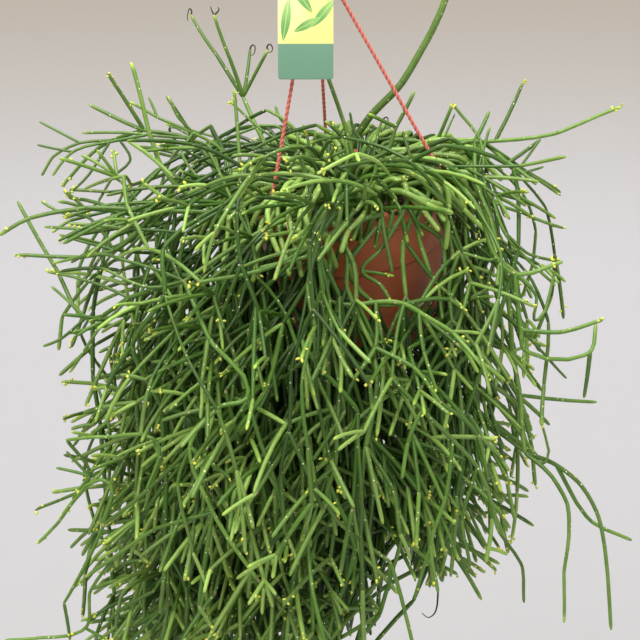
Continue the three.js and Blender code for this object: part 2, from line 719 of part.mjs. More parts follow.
function branch(name, points, draw) {
  const { first, next, share, atTip, from, chain } = branching;
  for (let i = from; i < points.length; i += 1) {
    const axis = unit(minus(points[i], points[i - 1]));
    let many = atTip;
    if (i < points.length - 1) many = draw([0, 1]) < share ? 1 : 0;
    const spin = draw([0, 360]);
    for (let k = 0; k < many; k += 1) {
      const way = [points[i]];
      let found = shoot(name, points[i], axis, first, draw, spin + (k * 360) / many);
      while (found) {
        way.push(found.end);
        found = way.length > chain ? null : shoot(name, found.end, found.way, next, draw);
      }
      if (way.length > 1) layLimb(name, thickness.limb, way, stem.limbSides);
    }
  }
}

function growAll() {
  const draw = makeDice(growth.seed);
  for (const angle of Object.values(cord.names)) occupy(collar, onPot(68, angle, -6), 1.8, 'cords');
  occupy([0, 0, 20], collar, 7, 'hook');
  for (const x of [-12, 0, 12]) {
    occupy([label.middle + x, 5, -30], [label.middle + x, -22, -128], 7, 'label');
  }
  for (const [name, shoots] of Object.entries(singleShoots)) laySingle(name, shoots);
  for (const family of families) {
    const [first, last] = family.arc;
    for (let k = 0; k < family.count; k += 1) {
      const middle = first + ((last - first) * (k + 0.5)) / family.count;
      let grown = false;
      for (let turn = 0; turn < growth.turns && !grown; turn += 1) {
        grown = growSpray(`${family.kind}_${k + 1}`, family, middle + draw([-10, 10]), draw);
      }
    }
  }
}

// The limbs of one owner, fused
function makeSpray(owner) {
  const parts = limbs.filter((limb) => limb.owner === owner);
  const solids = parts.map(({ points, thick, sides }) => {
    const corner = sides === stem.sides ? stem.corner : stem.limbCorner;
    return toSolid(rod(points, thick.map((radius) => radius * corner), sides));
  });
  return solids.reduce((all, solid) => all.add(solid));
}

const paint = (color, roughness) => new THREE.MeshStandardMaterial({ color, roughness, metalness: 0 });
const finishes = {
  clay: paint(0x94503a, 0.55), earth: paint(0x3d2b20, 0.95), coral: paint(0xcf5c4c, 0.8),
  card: paint(0xe6e89a, 0.5), stem: paint(0x5a8f3a, 0.5),
};

function addPiece(parent, name, solid, finish) {
  const piece = new THREE.Mesh(toGeometry(solid), finish);
  piece.name = name;
  parent.add(piece);
}

growAll();
const sprays = [...new Set(limbs.map(({ owner }) => owner))];
const roots = sprays.map((owner) => {
  const { points, thick } = limbs.find((limb) => limb.owner === owner);
  return { foot: points[0], radius: thick[0] * stem.corner + stem.holeSlack };
});

const group = new THREE.Group();
const potGroup = new THREE.Group();
potGroup.applyMatrix4(potFrame);
group.add(potGroup);
addPiece(potGroup, 'pot', makePot(), finishes.clay);
addPiece(potGroup, 'soil', makeSoil(roots), finishes.earth);
addPiece(group, 'hook', makeHook(), finishes.coral);
for (const [name, angle] of Object.entries(cord.names)) {
  addPiece(group, name, makeCord(angle), finishes.coral);
}
addPiece(group, 'label', makeLabel(), finishes.card);
for (const owner of sprays) addPiece(group, owner, makeSpray(owner), finishes.stem);

export default group;
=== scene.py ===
import math
import bmesh
import bpy
from mathutils import Matrix, Vector, noise


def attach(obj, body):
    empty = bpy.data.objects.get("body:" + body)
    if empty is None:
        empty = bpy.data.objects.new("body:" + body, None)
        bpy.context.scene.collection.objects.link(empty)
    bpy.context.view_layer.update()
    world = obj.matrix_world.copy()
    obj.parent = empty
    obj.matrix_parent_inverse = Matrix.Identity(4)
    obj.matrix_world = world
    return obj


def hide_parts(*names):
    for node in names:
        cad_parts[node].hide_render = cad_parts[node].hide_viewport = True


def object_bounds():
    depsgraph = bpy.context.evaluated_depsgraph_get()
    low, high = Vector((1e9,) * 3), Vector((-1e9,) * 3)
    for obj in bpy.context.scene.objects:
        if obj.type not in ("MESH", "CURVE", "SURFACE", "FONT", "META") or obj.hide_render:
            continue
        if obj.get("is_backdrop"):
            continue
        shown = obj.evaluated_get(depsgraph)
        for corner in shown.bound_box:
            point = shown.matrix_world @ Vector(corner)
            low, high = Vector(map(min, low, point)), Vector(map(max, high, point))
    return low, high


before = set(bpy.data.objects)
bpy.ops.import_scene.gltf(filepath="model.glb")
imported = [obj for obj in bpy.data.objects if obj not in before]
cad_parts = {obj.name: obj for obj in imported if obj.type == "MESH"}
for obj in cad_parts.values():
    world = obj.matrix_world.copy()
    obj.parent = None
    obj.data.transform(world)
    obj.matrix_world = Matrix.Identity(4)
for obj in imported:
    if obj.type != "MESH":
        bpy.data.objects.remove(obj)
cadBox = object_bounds()
print("frame:", len(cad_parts), "nodes")

# Lengths are in millimetres and angles in degrees; a mesh is scaled to metres as it is made.
# The origin is where the hook bears, +Z is up and -Y is the side that is mostly seen.
metre = 0.001
view = {
    "pixel": 2 / 3, "distance": 850, "tilt": 17, "middle": 320, "left": 18, "below": 91.4, "sensor": 36,
    "clip": (0.05, 20),
}  # pixels, millimetres and degrees; the clip is in metres
pot = {
    "rimCentre": (20.3, 23, -199.8), "rimRadius": 70, "bandHeight": 12.5, "height": 105,
    "wallTop": 66.5, "wallFoot": 50, "wall": 1.8, "mouth": 64, "seam": 41, "seamStep": 0.8,
    "drainRadius": 5, "drainRing": 30, "drains": 4, "sides": 128,
}
soil = {"depth": 12, "crumb": 2.2, "rings": 26, "sides": 96, "chips": 210, "grit": 90, "seed": 11}
cordAngles = {"cord_right": 340, "cord_left": 220, "cord_back": 100}
sideHint, otherHint = (0.31, 0.17, 0.93), (0.95, 0.2, 0.1)  # slanting ways that a stem seldom lies along


# Vectors as plain tuples of three numbers
def plus(a, b, k=1):
    return (a[0] + b[0] * k, a[1] + b[1] * k, a[2] + b[2] * k)


def minus(a, b):
    return (a[0] - b[0], a[1] - b[1], a[2] - b[2])


def times(a, k):
    return (a[0] * k, a[1] * k, a[2] * k)


def dot(a, b):
    return a[0] * b[0] + a[1] * b[1] + a[2] * b[2]


def cross(a, b):
    return (a[1] * b[2] - a[2] * b[1], a[2] * b[0] - a[0] * b[2], a[0] * b[1] - a[1] * b[0])


def size(a):
    return math.sqrt(dot(a, a))


def unit(a):
    return times(a, 1 / size(a))


def between(a, b, t):
    return plus(a, minus(b, a), t)


def wave(degrees):
    return math.cos(math.radians(degrees)), math.sin(math.radians(degrees))


# The view's axes, and the pot's: it hangs askew, with its axis through the collar
viewUp = (0, wave(view["tilt"])[1], wave(view["tilt"])[0])
viewNear = (0, -wave(view["tilt"])[0], wave(view["tilt"])[1])
viewCentre = plus(plus(pot["rimCentre"], (1, 0, 0), -view["left"]), viewUp, -view["below"])
collar = (0, 0, -56)
potUp = unit(minus(collar, pot["rimCentre"]))
potRight = unit(cross((0, 1, 0), potUp))
potBack = cross(potUp, potRight)


def seen(point):  # from view pixels and millimetres nearer the eye than the rim's middle
    px, py, near = point
    k = 1 - near / view["distance"]
    flat = times((1, 0, 0), (px - view["middle"]) * view["pixel"] * k)
    flat = plus(flat, viewUp, (view["middle"] - py) * view["pixel"] * k)
    return plus(plus(viewCentre, flat), viewNear, near)


def project(p):
    d = minus(p, viewCentre)
    near = dot(d, viewNear)
    k = view["distance"] / (view["distance"] - near) / view["pixel"]
    return view["middle"] + d[0] * k, view["middle"] - dot(d, viewUp) * k, near


def onPot(radius, angle, height):
    c, s = wave(angle)
    flat = plus(times(potRight, radius * c), potBack, radius * s)
    return plus(plus(pot["rimCentre"], flat), potUp, height)


def wallAt(height):
    share = (-height - pot["bandHeight"]) / (pot["height"] - pot["bandHeight"])
    return pot["rimRadius"] if share < 0 else pot["wallTop"] + (pot["wallFoot"] - pot["wallTop"]) * share


def makeDice(seed):
    state = [seed]

    def draw(span):
        state[0] = (state[0] * 1664525 + 1013904223) % 4294967296
        return span[0] + (span[1] - span[0]) * state[0] / 4294967296

    return draw


def show(thing):  # puts a new thing into the scene
    bpy.context.scene.collection.objects.link(thing)
    return thing


# Camera: it looks down a little at the plant from in front, as the seen points are meant
def makeCamera():
    lens = bpy.data.cameras.new("viewCamera")
    lens.sensor_width = view["sensor"]
    lens.lens = view["sensor"] * view["distance"] / (2 * view["middle"] * view["pixel"])
    lens.clip_start, lens.clip_end = view["clip"]
    camera = show(bpy.data.objects.new("viewCamera", lens))
    camera.location = Vector(plus(viewCentre, viewNear, view["distance"])) * metre
    camera.rotation_euler = (math.radians(90 - view["tilt"]), 0, 0)
    bpy.context.scene.camera = camera


makeCamera()


# Shader sockets that take arithmetic
class Wire:
    def __init__(self, paint, socket):
        self.paint = paint
        self.socket = socket

    def __add__(self, other):
        return self.paint.math("ADD", self, other)

    def __radd__(self, other):
        return self.paint.math("ADD", other, self)

    def __sub__(self, other):
        return self.paint.math("SUBTRACT", self, other)

    def __rsub__(self, other):
        return self.paint.math("SUBTRACT", other, self)

    def __mul__(self, other):
        return self.paint.math("MULTIPLY", self, other)

    def __rmul__(self, other):
        return self.paint.math("MULTIPLY", other, self)

    def __truediv__(self, other):
        return self.paint.math("DIVIDE", self, other)


class Paint:
    def __init__(self, name):
        self.material = bpy.data.materials.new(name)
        self.material.use_nodes = True
        self.nodes = self.material.node_tree.nodes
        self.links = self.material.node_tree.links
        self.nodes.clear()

    def node(self, kind, settings=None, values=None, output=0):
        made = self.nodes.new(kind)
        for key, value in (settings or {}).items():
            if key == "stops":
                stops = made.color_ramp.elements
                while len(stops) < len(value):
                    stops.new(0.5)
                for stop, (at, tint) in zip(stops, value):
                    stop.position = at
                    stop.color = (*tint, 1) if isinstance(tint, tuple) else (tint, tint, tint, 1)
            else:
                setattr(made, key, value)
        for key, value in (values or {}).items():
            socket = made.inputs[key]
            if isinstance(value, Wire):
                self.links.new(value.socket, socket)
            elif isinstance(value, tuple) and len(value) == 3 and len(socket.default_value) == 4:
                socket.default_value = (*value, 1)
            else:
                socket.default_value = value
        return None if output is None else Wire(self, made.outputs[output])

    def math(self, operation, *values):
        return self.node("ShaderNodeMath", {"operation": operation}, dict(enumerate(values)))

    def mix(self, share, first, second, blend="MIX"):
        settings = {"data_type": "RGBA", "blend_type": blend, "clamp_factor": True}
        return self.node("ShaderNodeMix", settings, {"Factor": share, 6: first, 7: second}, 2)

    def place(self):
        return self.node("ShaderNodeTexCoord", None, None, "Object")

    def attribute(self, name, output="Fac"):
        return self.node("ShaderNodeAttribute", {"attribute_name": name}, None, output)

    def stretched(self, scale):
        return self.node("ShaderNodeVectorMath", {"operation": "MULTIPLY"}, {0: self.place(), 1: scale})

    def noise(self, scale, detail=3, rough=0.5, vector=None):
        values = {"Vector": vector or self.place(), "Scale": scale, "Detail": detail, "Roughness": rough}
        return self.node("ShaderNodeTexNoise", {"noise_dimensions": "3D"}, values)

    def cells(self, scale):
        return self.node("ShaderNodeTexVoronoi", {"feature": "F1"}, {"Vector": self.place(), "Scale": scale})

    def ramp(self, value, *stops):
        return self.node("ShaderNodeValToRGB", {"stops": stops}, {"Fac": value})

    def band(self, value, low, high):
        settings = {"interpolation_type": "SMOOTHSTEP", "clamp": True}
        return self.node("ShaderNodeMapRange", settings, {"Value": value, "From Min": low, "From Max": high})

    def bump(self, height, strength, distance):
        values = {"Height": height, "Strength": strength, "Distance": distance}
        return self.node("ShaderNodeBump", None, values)

    def finish(self, color, roughness, normal=None, **uniform):
        values = {"Base Color": color, "Roughness": roughness}
        if normal:
            values["Normal"] = normal
        values.update({key.replace("_", " "): value for key, value in uniform.items()})
        shader = self.node("ShaderNodeBsdfPrincipled", None, values)
        self.node("ShaderNodeOutputMaterial", None, {"Surface": shader}, None)
        return self.material


# Colours of the plant, from the oldest stems to the tips
# The fresh green is the pale colour of young stems, made paler still as a painted highlight for their sheen
stemTints = {
    "old": (0.032, 0.078, 0.013), "mature": (0.046, 0.122, 0.009), "fresh": (0.265, 0.425, 0.085),
    "tip": (0.360, 0.520, 0.070), "cork": (0.360, 0.280, 0.150), "areole": (0.780, 0.800, 0.420),
    "dots": 240, "dotSize": 0.15, "mottle": 90, "grain": 900,
}


def paintStem():
    s = stemTints
    p = Paint("stemSkin")
    look, cork = p.attribute("stemLook", "Color"), p.attribute("stemLook", "Alpha")
    tone, youth, tip = [p.node("ShaderNodeSeparateColor", None, {0: look}, k) for k in range(3)]
    mottle = p.noise(s["mottle"], 4, 0.6)
    grain = p.noise(s["grain"], 2, 0.5)
    body = p.mix(p.band(youth + (mottle - 0.5) * 0.35, 0.0, 0.5), s["old"], s["mature"])
    body = p.mix(p.band(youth + (mottle - 0.5) * 0.25, 0.45, 1.0), body, s["fresh"])
    body = p.mix(p.band(tip, 0.25, 1.0) * 0.85, body, s["tip"])
    shade = 0.72 + tone * 0.56
    gray = p.node("ShaderNodeCombineColor", None, {0: shade, 1: shade, 2: shade})
    body = p.mix(1.0, body, gray, "MULTIPLY")
    worn = p.band(cork + (grain - 0.5) * 0.6, 0.45, 0.85)
    body = p.mix(worn * 0.8, body, s["cork"])
    dot = 1 - p.band(p.cells(s["dots"]), s["dotSize"] * 0.6, s["dotSize"])
    body = p.mix(dot * 0.85, body, s["areole"])
    normal = p.bump(dot * 0.6 + mottle * 0.3 + grain * 0.12, 0.35, 0.0006)
    return p.finish(body, 0.36 + mottle * 0.16 + worn * 0.3, normal, Specular_IOR_Level=0.45)


# Patchy skins: noise scale and detail, colour stops, roughness and its range, bump strength and depth
patches = {
    "budSkin": (700, 2, ((0.25, (0.42, 0.52, 0.05)), (0.55, (0.70, 0.72, 0.10)), (0.8, (0.72, 0.40, 0.08))),
                0.45, 0.2, 0.4, 0.0003),
    "driedTip": (500, 3, ((0.3, (0.012, 0.010, 0.008)), (0.75, (0.060, 0.040, 0.025))),
                 0.6, 0.3, 0.5, 0.0003),
    "rootletBark": (260, 4, ((0.3, (0.16, 0.085, 0.045)), (0.5, (0.36, 0.24, 0.14)),
                             (0.75, (0.52, 0.42, 0.28))), 0.75, 0.2, 0.6, 0.0005),
}


def paintPatch(name):
    scale, detail, stops, rough, more, strength, depth = patches[name]
    p = Paint(name)
    patch = p.noise(scale, detail)
    return p.finish(p.ramp(patch, *stops), rough + patch * more, p.bump(patch, strength, depth))


potTints = {
    # The body is terracotta made lighter than the plastic's own colour: painted light that makes up for the
    # foliage's shade on the wall
    "body": ((0.3, (0.620, 0.150, 0.060)), (0.55, (0.720, 0.200, 0.082)), (0.8, (0.780, 0.250, 0.118))),
    # The crease shades are painted shade: thin darker lines on the wall just under the seam and just under the
    # rim band
    "chalk": (0.46, 0.25, 0.18), "scuff": (0.44, 0.19, 0.13), "creaseShade": (0.15, 0.035, 0.020),
    "creaseShades": ((-pot["seam"] - 0.7, 0.5), (-pot["bandHeight"] - 1.2, 0.65)),  # height and share of the shade
    "creaseShadeEdge": (0.3, 1.5),
}


def paintPot():
    t = potTints
    p = Paint("potPlastic")
    cloud, fine, grime = p.noise(16, 5, 0.6), p.noise(420, 3, 0.6), p.noise(48, 5, 0.7)
    chalk = p.band(grime, 0.56, 0.74) * 0.25
    body = p.mix(chalk, p.ramp(cloud, *t["body"]), t["chalk"])
    scuff = p.band(p.noise(90, 2, 0.5, p.stretched((1, 1, 14))), 0.62, 0.7) * 0.4
    body = p.mix(scuff, body, t["scuff"])
    along = {0: p.place(), 1: potUp}
    height = p.node("ShaderNodeVectorMath", {"operation": "DOT_PRODUCT"}, along, "Value") / metre
    height = height - dot(pot["rimCentre"], potUp)
    # Painted shade: the wall darkens in a thin line under the seam and under the rim band
    for creaseShade, shadeShare in t["creaseShades"]:
        near = 1 - p.band(p.math("ABSOLUTE", height - creaseShade), *t["creaseShadeEdge"])
        body = p.mix(near * shadeShare, body, t["creaseShade"])
    normal = p.bump(fine * 0.5 + scuff * 0.5 + cloud, 0.18, 0.0008)
    return p.finish(body, 0.34 + chalk * 0.4 + fine * 0.08, normal, Specular_IOR_Level=0.5)


def paintSoil():
    p = Paint("pottingMix")
    clod, crumb = p.noise(140, 6, 0.7), p.cells(420)
    tint = p.ramp(clod, (0.3, (0.012, 0.008, 0.006)), (0.5, (0.040, 0.024, 0.015)),
                  (0.72, (0.110, 0.062, 0.034)))
    tint = p.mix(p.band(p.noise(700, 2), 0.66, 0.72), tint, (0.36, 0.29, 0.20))
    return p.finish(tint, 0.9 + clod * 0.1, p.bump(clod + crumb, 0.9, 0.002))


def paintChip():
    p = Paint("barkChip")
    tone = p.attribute("chipTone")
    grain = p.noise(180, 5, 0.7, p.stretched((1, 3, 1)))
    tint = p.ramp(tone * 0.6 + grain * 0.4, (0.2, (0.040, 0.020, 0.012)), (0.45, (0.150, 0.075, 0.038)),
                  (0.7, (0.300, 0.190, 0.110)), (0.95, (0.560, 0.470, 0.350)))
    return p.finish(tint, 0.8 + grain * 0.15, p.bump(grain, 0.7, 0.001))


def paintCord():
    p = Paint("cordFibre")
    plyShadeDepth = p.attribute("plyDepth")
    fibre = p.noise(2600, 3, 0.7)
    # Painted shade: the cord is much darker down in the grooves between its plies than on their crowns
    tint = p.mix(p.band(plyShadeDepth, 0.15, 0.85), (0.17, 0.020, 0.018), (0.70, 0.150, 0.110))
    tint = p.mix(p.band(fibre, 0.45, 0.8) * 0.6, tint, (0.78, 0.30, 0.25))
    return p.finish(tint, 0.62 + fibre * 0.25, p.bump(fibre, 0.5, 0.0003), Sheen_Weight=0.25)


def paintHook():
    p = Paint("hookPlastic")
    cloud, fine = p.noise(40, 3), p.noise(900, 2)
    tint = p.mix(p.band(cloud, 0.3, 0.7), (0.40, 0.062, 0.045), (0.50, 0.090, 0.065))
    return p.finish(tint, 0.34 + fine * 0.14, p.bump(fine, 0.12, 0.0004), Specular_IOR_Level=0.5)


# A pale card with a muted green foot and some plain leaves in like colours
label = {
    "width": 34, "thickness": 0.8, "above": 14, "straight": 16, "below": 92.5, "middle": -6.5,
    "holeHeight": -37.3, "tiltTop": 22, "tiltEnd": 5, "slotWidth": 10, "slotLength": 16,
    "corner": 1.5, "rows": 72, "footHeight": 21.5,
    "leaves": [(-11, 66, 25, 15, 3.6), (-3, 50, -35, 13, 3.2), (9, 62, -18, 17, 3.4), (11, 40, 40, 12, 3.0),
               (-12, 36, 8, 14, 3.0), (1, 33, 62, 10, 2.6), (3, 78, 12, 12, 3.0)],
}


def paintLabel():
    p = Paint("labelCard")
    across, up, front = [p.attribute(name) for name in ("labelAcross", "labelUp", "labelFront")]
    fine, blot = p.noise(600, 3), p.noise(35, 3)
    tint = p.mix(p.band(blot, 0.35, 0.65), (0.80, 0.76, 0.24), (0.86, 0.84, 0.36))
    for x, y, turn, long, wide in label["leaves"]:
        c, s = wave(turn)
        along = ((across - x) * s + (up - y) * c) / long
        aside = ((across - x) * c - (up - y) * s) / wide
        inside = 1 - along * along - p.math("ABSOLUTE", aside)
        rib = p.band(p.math("ABSOLUTE", aside), 0.05, 0.12)
        leaf = p.mix(p.band(along + 0.5, 0.0, 1.2), (0.12, 0.34, 0.09), (0.30, 0.52, 0.16))
        tint = p.mix(p.band(inside, 0.0, 0.12) * (0.55 + rib * 0.45), tint, leaf)
    foot = 1 - p.band(up, label["footHeight"] - 0.3, label["footHeight"] + 0.3)
    tint = p.mix(foot, tint, (0.140, 0.285, 0.200))
    tint = p.mix(1 - front, tint, (0.80, 0.80, 0.74))
    return p.finish(tint, 0.30 + fine * 0.12, p.bump(fine + blot, 0.10, 0.0005), Specular_IOR_Level=0.5)


def paintBackdrop():
    p = Paint("backdropPaper")
    height = p.node("ShaderNodeSeparateXYZ", None, {0: p.place()}, 2)
    # Painted shade: the paper is darker and warmer towards the top; it also glows with this colour, as painted
    # light
    tint = p.mix(p.band(height, -0.85, 0.0), (0.605, 0.605, 0.63), (0.41, 0.37, 0.315))
    return p.finish(tint, 0.9 + p.noise(3) * 0.05, Emission_Color=tint, Emission_Strength=0.26)


skins = {
    "stem": paintStem(), "bud": paintPatch("budSkin"), "dried": paintPatch("driedTip"),
    "rootlet": paintPatch("rootletBark"),
    "pot": paintPot(), "soil": paintSoil(), "chip": paintChip(), "cord": paintCord(),
    "hook": paintHook(), "label": paintLabel(), "backdrop": paintBackdrop(),
}
print("materials:", len(skins))


# Meshes
def makeShape(name, points, faces, materials, smooth=True, faceSlots=None):
    mesh = bpy.data.meshes.new(name)
    mesh.from_pydata([times(p, metre) for p in points], [], faces)
    for material in materials:
        mesh.materials.append(material)
    if faceSlots:
        mesh.polygons.foreach_set("material_index", faceSlots)
    mesh.polygons.foreach_set("use_smooth", [smooth] * len(mesh.polygons))
    mesh.update()
    return show(bpy.data.objects.new(name, mesh))


def makePiece(name, points, faces, materials, replaced=(), smooth=True, faceSlots=None):
    piece = makeShape(name, points, faces, materials, smooth, faceSlots)
    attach(piece, "root")
    if replaced:
        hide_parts(*replaced)
    return piece


def addValues(piece, name, values, kind="FLOAT"):
    attribute = piece.data.attributes.new(name, kind, "POINT")
    if kind == "FLOAT":
        attribute.data.foreach_set("value", values)
    else:
        attribute.data.foreach_set("color", [number for value in values for number in value])


def ringOf(radius, height, sides):
    return [(radius * c, radius * s, height) for c, s in (wave(360 * k / sides) for k in range(sides))]


def bridge(low, high, sides):  # the faces between two rings of points that begin at low and at high
    nexts = [(k + 1) % sides for k in range(sides)]
    return [[low + k, low + n, high + n, high + k] for k, n in enumerate(nexts)]


def lathe(profile, sides):  # profile: radius and height, from axis to axis
    points, faces, rings = [], [], []
    for radius, height in profile:
        if radius < 1e-6:
            rings.append([len(points)] * sides)
            points.append((0, 0, height))
            continue
        rings.append([len(points) + k for k in range(sides)])
        points += ringOf(radius, height, sides)
    for low, high in zip(rings, rings[1:]):
        for k in range(sides):
            around = [low[k], low[(k + 1) % sides], high[(k + 1) % sides], high[k]]
            face = [v for i, v in enumerate(around) if v not in around[:i]]
            if len(face) > 2:
                faces.append(face)
    return points, faces


def fillet(corners, radius, steps=4):  # rounds the inner corners of a profile
    line = [corners[0]]
    for before, at, after in zip(corners, corners[1:], corners[2:]):
        sides = [math.dist(before, at), math.dist(at, after)]
        cut = min(radius, sides[0] * 0.45, sides[1] * 0.45)
        p = [at[i] + (before[i] - at[i]) * cut / sides[0] for i in range(2)]
        q = [at[i] + (after[i] - at[i]) * cut / sides[1] for i in range(2)]
        for k in range(steps + 1):
            t = k / steps
            line.append(tuple((1 - t) ** 2 * p[i] + 2 * t * (1 - t) * at[i] + t * t * q[i] for i in range(2)))
    return line + [corners[-1]]


def carry(axis, side):  # keeps a side vector square to a new axis
    flat = minus(side, times(axis, dot(axis, side)))
    return unit(flat) if size(flat) > 1e-6 else unit(cross(axis, sideHint))


def tube(path, radiusAt, sides, section=None):  # radiusAt(share along); section(share, turn) scales it
    points, faces = [], []
    side = carry(unit(minus(path[1], path[0])), sideHint)
    last = len(path) - 1
    for i, p in enumerate(path):
        axis = unit(minus(path[min(i + 1, last)], path[max(i - 1, 0)]))
        side = carry(axis, side)
        up = cross(axis, side)
        for k in range(sides):
            c, s = wave(360 * k / sides)
            r = radiusAt(i / last) * (section(i, k / sides) if section else 1)
            points.append(plus(plus(p, side, r * c), up, r * s))
    for i in range(last):
        faces += bridge(i * sides, (i + 1) * sides, sides)
    faces.append(list(range(sides))[::-1])
    faces.append([last * sides + k for k in range(sides)])
    return points, faces


def joined(parts):  # several meshes as one
    points, faces = [], []
    for more, others in parts:
        shift = len(points)
        points += more
        faces += [[v + shift for v in face] for face in others]
    return points, faces


def hermite(a, b, ta, tb, t):  # a point on the curve from a to b that leaves along ta and arrives along tb
    t2, t3 = t * t, t * t * t
    h = (2 * t3 - 3 * t2 + 1, t3 - 2 * t2 + t, 3 * t2 - 2 * t3, t3 - t2)
    return tuple(h[0] * a[i] + h[1] * ta[i] + h[2] * b[i] + h[3] * tb[i] for i in range(3))


def smoothLine(points, steps):  # a rounded line through given points
    line = []
    for i, (a, b) in enumerate(zip(points, points[1:])):
        before, after = points[max(i - 1, 0)], points[min(i + 2, len(points) - 1)]
        leave, arrive = times(minus(b, before), 0.5), times(minus(after, a), 0.5)
        line += [hermite(a, b, leave, arrive, k / steps) for k in range(steps)]
    return line + [points[-1]]


def toWorld(points):  # from the pot's own frame
    return [plus(plus(plus(pot["rimCentre"], potRight, x), potBack, y), potUp, z) for x, y, z in points]


# Cords: two plies laid round each other, from the collar to a knot under the lip
cord = {
    "radius": 1.25, "topRing": 2.7, "topHeight": -56.5, "lipRing": 67, "knotRadius": 3,
    "knotRing": 69.5, "knotHeight": -16.1, "plies": 2, "pitch": 7.5, "step": 0.75, "sides": 18,
    "groove": 0.42, "knotSteps": 72, "knotSides": 12, "strand": 1.15,
}


def cordEnds(angle):
    out = minus(onPot(cord["topRing"], angle, 0), pot["rimCentre"])
    return plus((0, 0, cord["topHeight"]), out), onPot(cord["lipRing"], angle, 2)


def twisted(path, radius, sides):
    lengths = [0]
    for a, b in zip(path, path[1:]):
        lengths.append(lengths[-1] + size(minus(b, a)))

    def lobe(i, turn):
        spin = lengths[i] / cord["pitch"]
        return 1 - cord["groove"] * (1 - abs(math.cos(math.pi * (turn - spin) * cord["plies"]))) ** 1.5

    points, faces = tube(path, lambda t: radius, sides, lobe)
    depth = [lobe(i // sides, (i % sides) / sides) for i in range(len(points))]
    return points, faces, [(d - (1 - cord["groove"])) / cord["groove"] for d in depth]


def makeCord(name, angle):
    top, low = cordEnds(angle)
    knot = onPot(cord["knotRing"], angle, cord["knotHeight"])
    under = onPot(cord["lipRing"] + 0.4, angle, -pot["bandHeight"] + 1)
    line = [between(top, low, k / 4) for k in range(5)] + [onPot(cord["lipRing"], angle, -6), under, knot]
    fine = smoothLine(line, 40)
    path = [fine[0]]
    for p in fine:
        if size(minus(p, path[-1])) > cord["step"]:
            path.append(p)
    points, faces, depth = twisted(path, cord["radius"], cord["sides"])
    piece = makePiece(name + "_rope", points, faces, [skins["cord"]], [name])
    addValues(piece, "plyDepth", depth)
    knotPiece = makeKnot(name + "_knot", knot)
    length = sum(size(minus(b, a)) for a, b in zip(path, path[1:]))
    times(path[0], metre)
    [times(p, metre) for p in path]
    return length


def makeKnot(name, at):
    reach = cord["knotRadius"] - cord["strand"]
    path = []
    for k in range(cord["knotSteps"] + 1):
        t = 2 * math.pi * k / cord["knotSteps"]
        x = (math.sin(t) + 2 * math.sin(2 * t)) / 3
        y = (math.cos(t) - 2 * math.cos(2 * t)) / 3
        z = -math.sin(3 * t) * 0.6
        path.append(plus(plus(plus(at, potRight, reach * x), potBack, reach * y), potUp, reach * z))
    points, faces, depth = twisted(path, cord["strand"], cord["knotSides"])
    piece = makePiece(name, points, faces, [skins["cord"]])
    addValues(piece, "plyDepth", depth)
    return piece


cordLengths = [makeCord(name, angle) for name, angle in cordAngles.items()]
print("cords:", [round(length, 1) for length in cordLengths])

# Hook: one bent bar on a collar that the cords run into
hook = {
    "wire": 2.2, "inner": 12, "shaftTop": -38, "swell": 7, "endAngle": 202, "joinAngle": -58, "turns": 60,
    "collarTop": -52, "collarBottom": -60, "collarRadius": 5.2, "groove": 0.5, "sides": 20, "tip": 2.0,
}


def makeHook():
    ring = hook["inner"] + hook["wire"]

    def onBend(angle):
        c, s = wave(angle)
        return (ring * c, 0, ring * s - hook["inner"])

    start, end = (0, 0, hook["shaftTop"]), onBend(hook["joinAngle"])
    bend = (0, 0, hook["shaftTop"] + hook["swell"])
    path = [(0, 0, hook["collarBottom"] + 1), (0, 0, -45)]
    path += [between(between(start, bend, k / 8), between(bend, end, k / 8), k / 8) for k in range(8)]
    span = hook["endAngle"] - hook["joinAngle"]
    path += [onBend(hook["joinAngle"] + span * k / hook["turns"]) for k in range(hook["turns"] + 1)]
    tipShare = hook["tip"] / (ring * math.radians(span) + 30)

    def radiusAt(share):
        left = (1 - share) / tipShare
        return hook["wire"] * (math.sqrt(1 - (1 - left) ** 2) if left < 1 else 1) + 0.01

    bar = tube(path, radiusAt, hook["sides"])
    wide, top, bottom = hook["collarRadius"], hook["collarTop"], hook["collarBottom"]
    slim = wide - hook["groove"]
    edge = fillet([
        (0, bottom), (wide, bottom), (wide, -57.4), (slim, -57.2), (slim, -54.8), (wide, -54.6), (wide, top),
        (0, top),
    ], 0.8)
    points, faces = joined([bar, lathe(edge, 40)])
    makePiece("hookBend", points, faces, [skins["hook"]], ["hook"])


makeHook()


# Label: a flat card, bent along its length and threaded on the hook's shaft
def labelLine():
    tilt = label["tiltTop"]
    c, s = wave(tilt)
    y, z = s * label["above"], c * label["above"]
    length = label["above"] + label["below"]
    line = [(y, z, tilt)]
    for k in range(label["rows"]):
        v = (k + 0.5) * length / label["rows"]
        bent = max(0, v - label["above"] - label["straight"]) / (label["below"] - label["straight"])
        tilt = label["tiltTop"] + (label["tiltEnd"] - label["tiltTop"]) * min(1, bent + 0.07 * (bent > 0))
        c, s = wave(tilt)
        y, z = y - s * length / label["rows"], z - c * length / label["rows"]
        line.append((y, z, tilt))
    return line


def roundedOutline(wide, long, radius, steps=6):
    points = []
    for quarter, (sx, sy) in enumerate([(1, 1), (-1, 1), (-1, -1), (1, -1)]):
        for k in range(steps + 1):
            c, s = wave(90 * (quarter + k / steps))
            points.append((sx * (wide / 2 - radius) + radius * c, sy * (long / 2 - radius) + radius * s))
    return points


